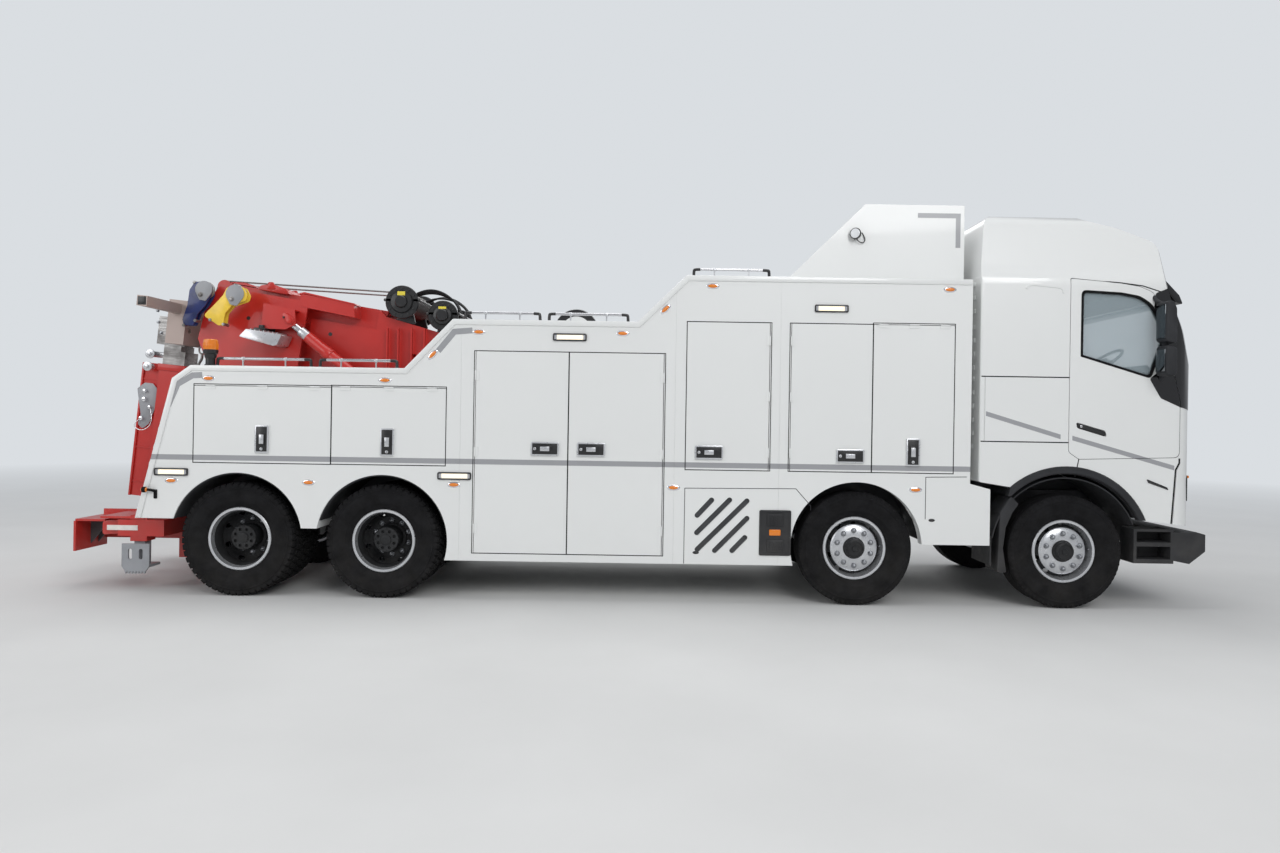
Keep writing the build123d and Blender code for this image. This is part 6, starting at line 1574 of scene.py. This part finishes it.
def make_underlift(sizes):
    """Bright flange, pins, latch plates and the bolted block at the head of the folded arm."""
    flange = prism(lift_box(0.098, 1.537, -0.344, -0.322), -0.107, 0.107, "Y", 0.003)
    ribs = [both(prism(lift_box(a0, a0 + 0.014, -0.318, -0.14), 0.088, 0.102)) for a0 in (0.25, 0.62, 0.99, 1.36)]
    collar = carve(prism(lift_box(1.475, 1.545, -0.15, 0.15), -0.165, 0.165, "Y", 0.006),
                   prism(lift_box(1.4, 1.6, -0.134, 0.134), -0.149, 0.149))
    piece("underlift_flange", "underlift_arm", "red", flange, collar, *ribs)
    pins = []
    for x, z in ((-9.313, 2.352), (-9.339, 2.217)):
        pins.append(together(rod((ahead(x), 0, z), "Y", 0.032, 0.34, 24, 0.004),
                             both(rod((ahead(x), 0.172, z), "Y", 0.05, 0.012, 28, 0.003)),
                             both(hexagon((ahead(x), 0.186, z), "Y", 0.04, 0.018, 0.002))))
    piece("underlift_pins", "underlift_arm", "silver", *pins)
    face = 0.11
    plate = prism(softened([on_lift(a, u) for a, u in LATCH_PLATE], 0.03, 4), face - 0.002, face + 0.004, "Y", 0.0015)
    latch_pins = [rod((ahead(x), face + 0.008, z), "Y", r, 0.066, 20, 0.004)
                  for x, z, r in ((-9.385, 1.955, 0.02), (-9.39, 1.865, 0.024), (-9.33, 1.78, 0.018),
                                  (-9.42, 1.66, 0.022))]
    piece("latch_plates", "underlift_arm", "grey_paint", plate, mirror=True)
    piece("latch_pins", "underlift_arm", "chrome", *latch_pins, mirror=True)
    loop = pipe(path((-9.42, face + 0.02, 1.66), (-9.51, face + 0.05, 1.6), (-9.42, face + 0.055, 1.52),
                     (-9.32, face + 0.05, 1.56), (-9.29, face + 0.04, 1.66), (-9.33, face + 0.02, 1.78)), 0.004)
    piece("latch_loops", "underlift_arm", "tube", loop, mirror=True)
    make_crosshead()


def make_crosshead():
    """Studs and end plates of the crossbar."""
    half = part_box("underlift_crossbar")[1].y
    end_x, end_z = on_lift(2.13, 0.158)
    end = block((end_x - 0.04, end_x + 0.04), (half - 0.001, half + 0.0025), (end_z - 0.04, end_z + 0.04), 0.001)
    studs = [side_stud(ahead(x), z, 0.466) for x, z in ((-9.07, 2.86), (-9.07, 2.78), (-9.06, 2.66), (-9.03, 2.55))]
    piece("crosshead_studs", "crossbar", "nut_steel", *[both(s) for s in studs])
    piece("crossbar_ends", "crossbar", "black", both(end))


def side_stud(x, z, y):
    return together(rod((x, y - 0.004, z), "Y", 0.018, 0.006, 16), hexagon((x, y + 0.004, z), "Y", 0.024, 0.014, 0.002))


FOOT_TOP = 0.452
FOOT_TEETH = 7


def foot_plate(x0, x1, z0, y):
    """The outer plate of a stabiliser's foot, with teeth along its edge and two slots."""
    base, run = z0 + 0.03, (x1 - x0 - 0.06) / FOOT_TEETH
    line = [(x0, FOOT_TOP), (x0, z0 + 0.075), (x0 + 0.03, base)]
    for i in range(FOOT_TEETH):
        start = x0 + 0.03 + run * i
        line += [(start + run * 0.25, z0 + 0.004), (start + run * 0.6, z0 + 0.004), (start + run * 0.85, base)]
    line += [(x1 - 0.03, base), (x1, z0 + 0.075), (x1, FOOT_TOP)]
    plate = prism(line, y - 0.018, y + 0.002, "Y", 0.002, 1)
    for k in (-1, 1):
        cx = (x0 + x1) / 2 + k * 0.052
        slot = prism(arc(cx, 0.385, 0.019, 0, 180, 8) + arc(cx, 0.32, 0.019, 180, 360, 8), y - 0.05, y + 0.05)
        plate = carve(plate, slot)
    return plate


def make_tail(sizes):
    """The feet of the stabilisers, then the plates at the tail."""
    for word, side in SIDES:
        low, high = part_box(f"stabiliser_{word}")
        x0, x1, z0 = low.x, high.x, low.z
        y = high.y if side > 0 else -low.y
        plate = foot_plate(x0, x1, z0, y)
        sole = prism([(x0 + 0.01, z0 + 0.062), (x1 - 0.01, z0 + 0.062), (x1 - 0.01, z0 + 0.088),
                      (x0 + 0.01, z0 + 0.088)], y - 0.21, y - 0.01, "Y", 0.003)
        leg = block(((x0 + x1) / 2 - 0.055, (x0 + x1) / 2 + 0.055), (y - 0.175, y - 0.065), (z0 + 0.062, 0.705), 0.008)
        piece(f"foot_{word}", f"stabiliser_{word}", "grey_paint", on_side(together(plate, sole, leg), side),
              replaces=(f"stabiliser_{word}",))
    make_tail_plates()


def make_tail_plates():
    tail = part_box("wrecker_frame")[0].x
    gussets = [both(prism([(tail + 0.022, 0.62), (tail + 0.2, 0.62), (tail + 0.022, 0.4)], y, y + 0.014))
               for y in (0.6, 0.72)]
    beam = both(prism(softened([(tail + 0.28, 0.655), (tail + 0.72, 0.7), (tail + 0.76, 0.64), (tail + 0.7, 0.56),
                                (tail + 0.28, 0.52)], 0.03), 0.93, 0.955, "Y", 0.004))
    piece("tail_plates", "chassis", "red", beam)
    piece("tail_gussets", "chassis", "chassis", *gussets)
    label = both(block((tail + 0.36, tail + 0.66), (1.01, 1.014), (0.575, 0.625), 0.002, 1))
    piece("tail_labels", "chassis", "pale_label", label)
    plate = block((tail - 0.003, tail + 0.003), (-0.93, -0.52), (0.5, 0.61), 0.002)
    piece("number_plate", "chassis", "pale_label", plate)


# Stage
BACKDROP = (0.7, 0.73, 0.76, 1)
SKY_COLOUR, SKY_STRENGTH = (0.9, 0.93, 0.98, 1), 0.46
SENSOR_WIDTH = 36.0
CAMERA_SHIFT = (-0.0078, -0.0066)
CAMERA_TURN = (math.pi / 2, -0.0155, 0)
FLOOR_REACH = 150
# Each lamp: name, place, what it points at, size and power
LAMPS = (("key", (5.5, -15.0, 10.5), (0.5, -1.0, 1.6), 8.0, 1000),
         ("fill", (-11.0, -9.0, 6.0), (-2.0, 0, 1.5), 7.0, 330),
         ("top", (-1.0, 0.5, 13.0), (-1.0, 0.0, 0.0), 10.0, 620), ("back", (2.0, 14.0, 9.0), (0, 0, 1.5), 9.0, 520))


def make_stage(sizes):
    scene = bpy.context.scene
    data = bpy.data.cameras.new("camera")
    data.lens = sizes.lens
    data.sensor_width = SENSOR_WIDTH
    data.shift_x, data.shift_y = CAMERA_SHIFT
    data.clip_end = 400.0
    camera = bpy.data.objects.new("camera", data)
    camera.location = EYE
    camera.rotation_euler = CAMERA_TURN
    scene.collection.objects.link(camera)
    scene.camera = camera
    floor = block((-FLOOR_REACH, FLOOR_REACH), (-FLOOR_REACH, FLOOR_REACH), (-0.05, -0.0005))
    mesh = bpy.data.meshes.new("floor")
    floor.to_mesh(mesh)
    mesh.materials.append(floor_look())
    ground = bpy.data.objects.new("floor", mesh)
    scene.collection.objects.link(ground)
    for name, place, target, size, power in LAMPS:
        lamp = bpy.data.lights.new(name, "AREA")
        lamp.size, lamp.energy = size, power * sizes.light
        holder = bpy.data.objects.new(name, lamp)
        holder.location = place
        holder.rotation_euler = (Vector(target) - Vector(place)).to_track_quat("-Z", "Y").to_euler()
        scene.collection.objects.link(holder)
    world = bpy.data.worlds.new("world")
    world.use_nodes = True
    scene.world = world
    nodes, links = world.node_tree.nodes, world.node_tree.links
    back = nodes["Background"]
    back.inputs["Color"].default_value = SKY_COLOUR
    back.inputs["Strength"].default_value = SKY_STRENGTH
    seen = nodes.new("ShaderNodeBackground")
    seen.inputs["Color"].default_value = BACKDROP
    path, mix, pick = nodes.new("ShaderNodeLightPath"), nodes.new("ShaderNodeMixShader"), nodes.new("ShaderNodeMath")
    pick.operation = "MAXIMUM"
    links.new(path.outputs["Is Camera Ray"], pick.inputs[0])
    links.new(path.outputs["Is Transmission Ray"], pick.inputs[1])
    links.new(pick.outputs[0], mix.inputs[0])
    links.new(back.outputs[0], mix.inputs[1])
    links.new(seen.outputs[0], mix.inputs[2])
    links.new(mix.outputs[0], nodes["World Output"].inputs[0])
    scene.view_settings.view_transform = "Standard"


def floor_look():
    """Pale ground that keeps the shadow near the truck, and turns into the plain background far from it."""
    tree = Tree("floor")
    base = tree.mix(tree.ranged(tree.noise(0.6, 5.0), 0, 1), (0.66, 0.66, 0.65, 1), (0.71, 0.71, 0.7, 1))
    tree.set(Base_Color=base, Roughness=0.8, Normal=tree.bump(tree.noise(60, 3.0), 0.1, 0.002))
    spread = tree.add("ShaderNodeVectorMath", {0: tree.place}, operation="LENGTH").outputs["Value"]
    seen = tree.math("MULTIPLY", tree.ranged(spread, 0.0, 1.0, 7.0, 26.0), tree.add("ShaderNodeLightPath").outputs[0])
    glow = tree.add("ShaderNodeEmission", {"Color": BACKDROP}).outputs[0]
    blend = tree.add("ShaderNodeMixShader", {0: seen, 1: tree.shader.outputs[0], 2: glow}).outputs[0]
    tree.links.new(blend, tree.nodes["Material Output"].inputs["Surface"])
    return tree.made


# What a user may change
class RecoverySizes(bpy.types.PropertyGroup):
    """Sizes and counts that the fittings are worked out from"""
    edge: FloatProperty(name="Eased edge", description="Width of the soft edge on panels and plates",
                        default=0.003, min=0.0, unit="LENGTH")
    lugs: IntProperty(name="Tyre lugs", description="Tread blocks round a driven tyre, in each row", default=52, min=8)
    nuts: IntProperty(name="Wheel nuts", description="Nuts that hold each wheel", default=10, min=3)
    lens: FloatProperty(name="Lens", description="Focal length of the camera in millimetres", default=24.0, min=1.0)
    light: FloatProperty(name="Light", description="Strength of the studio lamps", default=1.0, min=0.0)


class RecoveryColours(bpy.types.PropertyGroup):
    """Base colour of each finish"""
    __annotations__ = {
        word: FloatVectorProperty(name=word.replace("_", " ").capitalize(), subtype="COLOR", size=3, min=0.0, max=1.0,
                                  description=f"Base colour of the {word.replace('_', ' ')} finish", default=look[0])
        for word, look in LOOKS.items()}


def operator(word, label, text, make):
    """A class for one group of pieces, so that each has its own button."""
    def execute(self, context):
        make(context.scene.recovery_sizes)
        return {"FINISHED"}

    return type(f"RECOVERY_OT_{word}", (bpy.types.Operator,),
                {"__doc__": text, "bl_idname": f"recovery.{word}", "bl_label": label, "execute": execute})


STEPS = [
    operator("stage", "Stage", "Camera, floor and studio light", make_stage),
    operator("solids", "Solids", "Finishes of the solids that stay", make_solids),
    operator("tyres", "Tyres", "Tyres with ribs, lugs and sidewall rings", make_tyres),
    operator("rims", "Rims", "Rims, hubs, drums and nuts", make_rims),
    operator("cab", "Cab", "Cab skin, windscreen, grille, lamps and trim", make_cab),
    operator("body", "Locker body", "Edge rail, bands, latches, lamps, rails and roof gear", make_body),
    operator("boom", "Boom", "Guards, covers, hook blocks, flood lamps and lift cylinders", make_boom),
    operator("winches", "Winches", "Winch drums with their rope, labels and hoses", make_winches),
    operator("underlift", "Underlift", "Flange, pins, latch plates and crosshead studs", make_underlift),
    operator("tail", "Tail", "Foot plates, gussets and the blank plate", make_tail),
    operator("interior", "Interior", "Seats, bunk, dash, steering wheel and lining of the cab", make_interior),
    operator("doors", "Cab doors", "Door skins, seals, handles, linings and mirrors", make_doors),
]


class RECOVERY_PT_panel(bpy.types.Panel):
    """Buttons for each group of pieces, in the order that they are made"""
    bl_label = "Recovery truck"
    bl_idname = "RECOVERY_PT_panel"
    bl_space_type = "VIEW_3D"
    bl_region_type = "UI"
    bl_category = "Recovery truck"

    def draw(self, context):
        for group in (context.scene.recovery_sizes, context.scene.recovery_colours):
            for name in type(group).__annotations__:
                self.layout.prop(group, name)
        for step in STEPS:
            self.layout.operator(step.bl_idname)


CLASSES = [RecoverySizes, RecoveryColours, *STEPS, RECOVERY_PT_panel]


def register():
    for made in CLASSES:
        bpy.utils.register_class(made)
    bpy.types.Scene.recovery_sizes = PointerProperty(type=RecoverySizes)
    bpy.types.Scene.recovery_colours = PointerProperty(type=RecoveryColours)


def unregister():
    del bpy.types.Scene.recovery_sizes, bpy.types.Scene.recovery_colours
    for made in reversed(CLASSES):
        bpy.utils.unregister_class(made)


def main():
    register()
    for step in STEPS:
        group, word = step.bl_idname.split(".")
        getattr(getattr(bpy.ops, group), word)()
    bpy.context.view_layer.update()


if __name__ == "__main__":
    main()
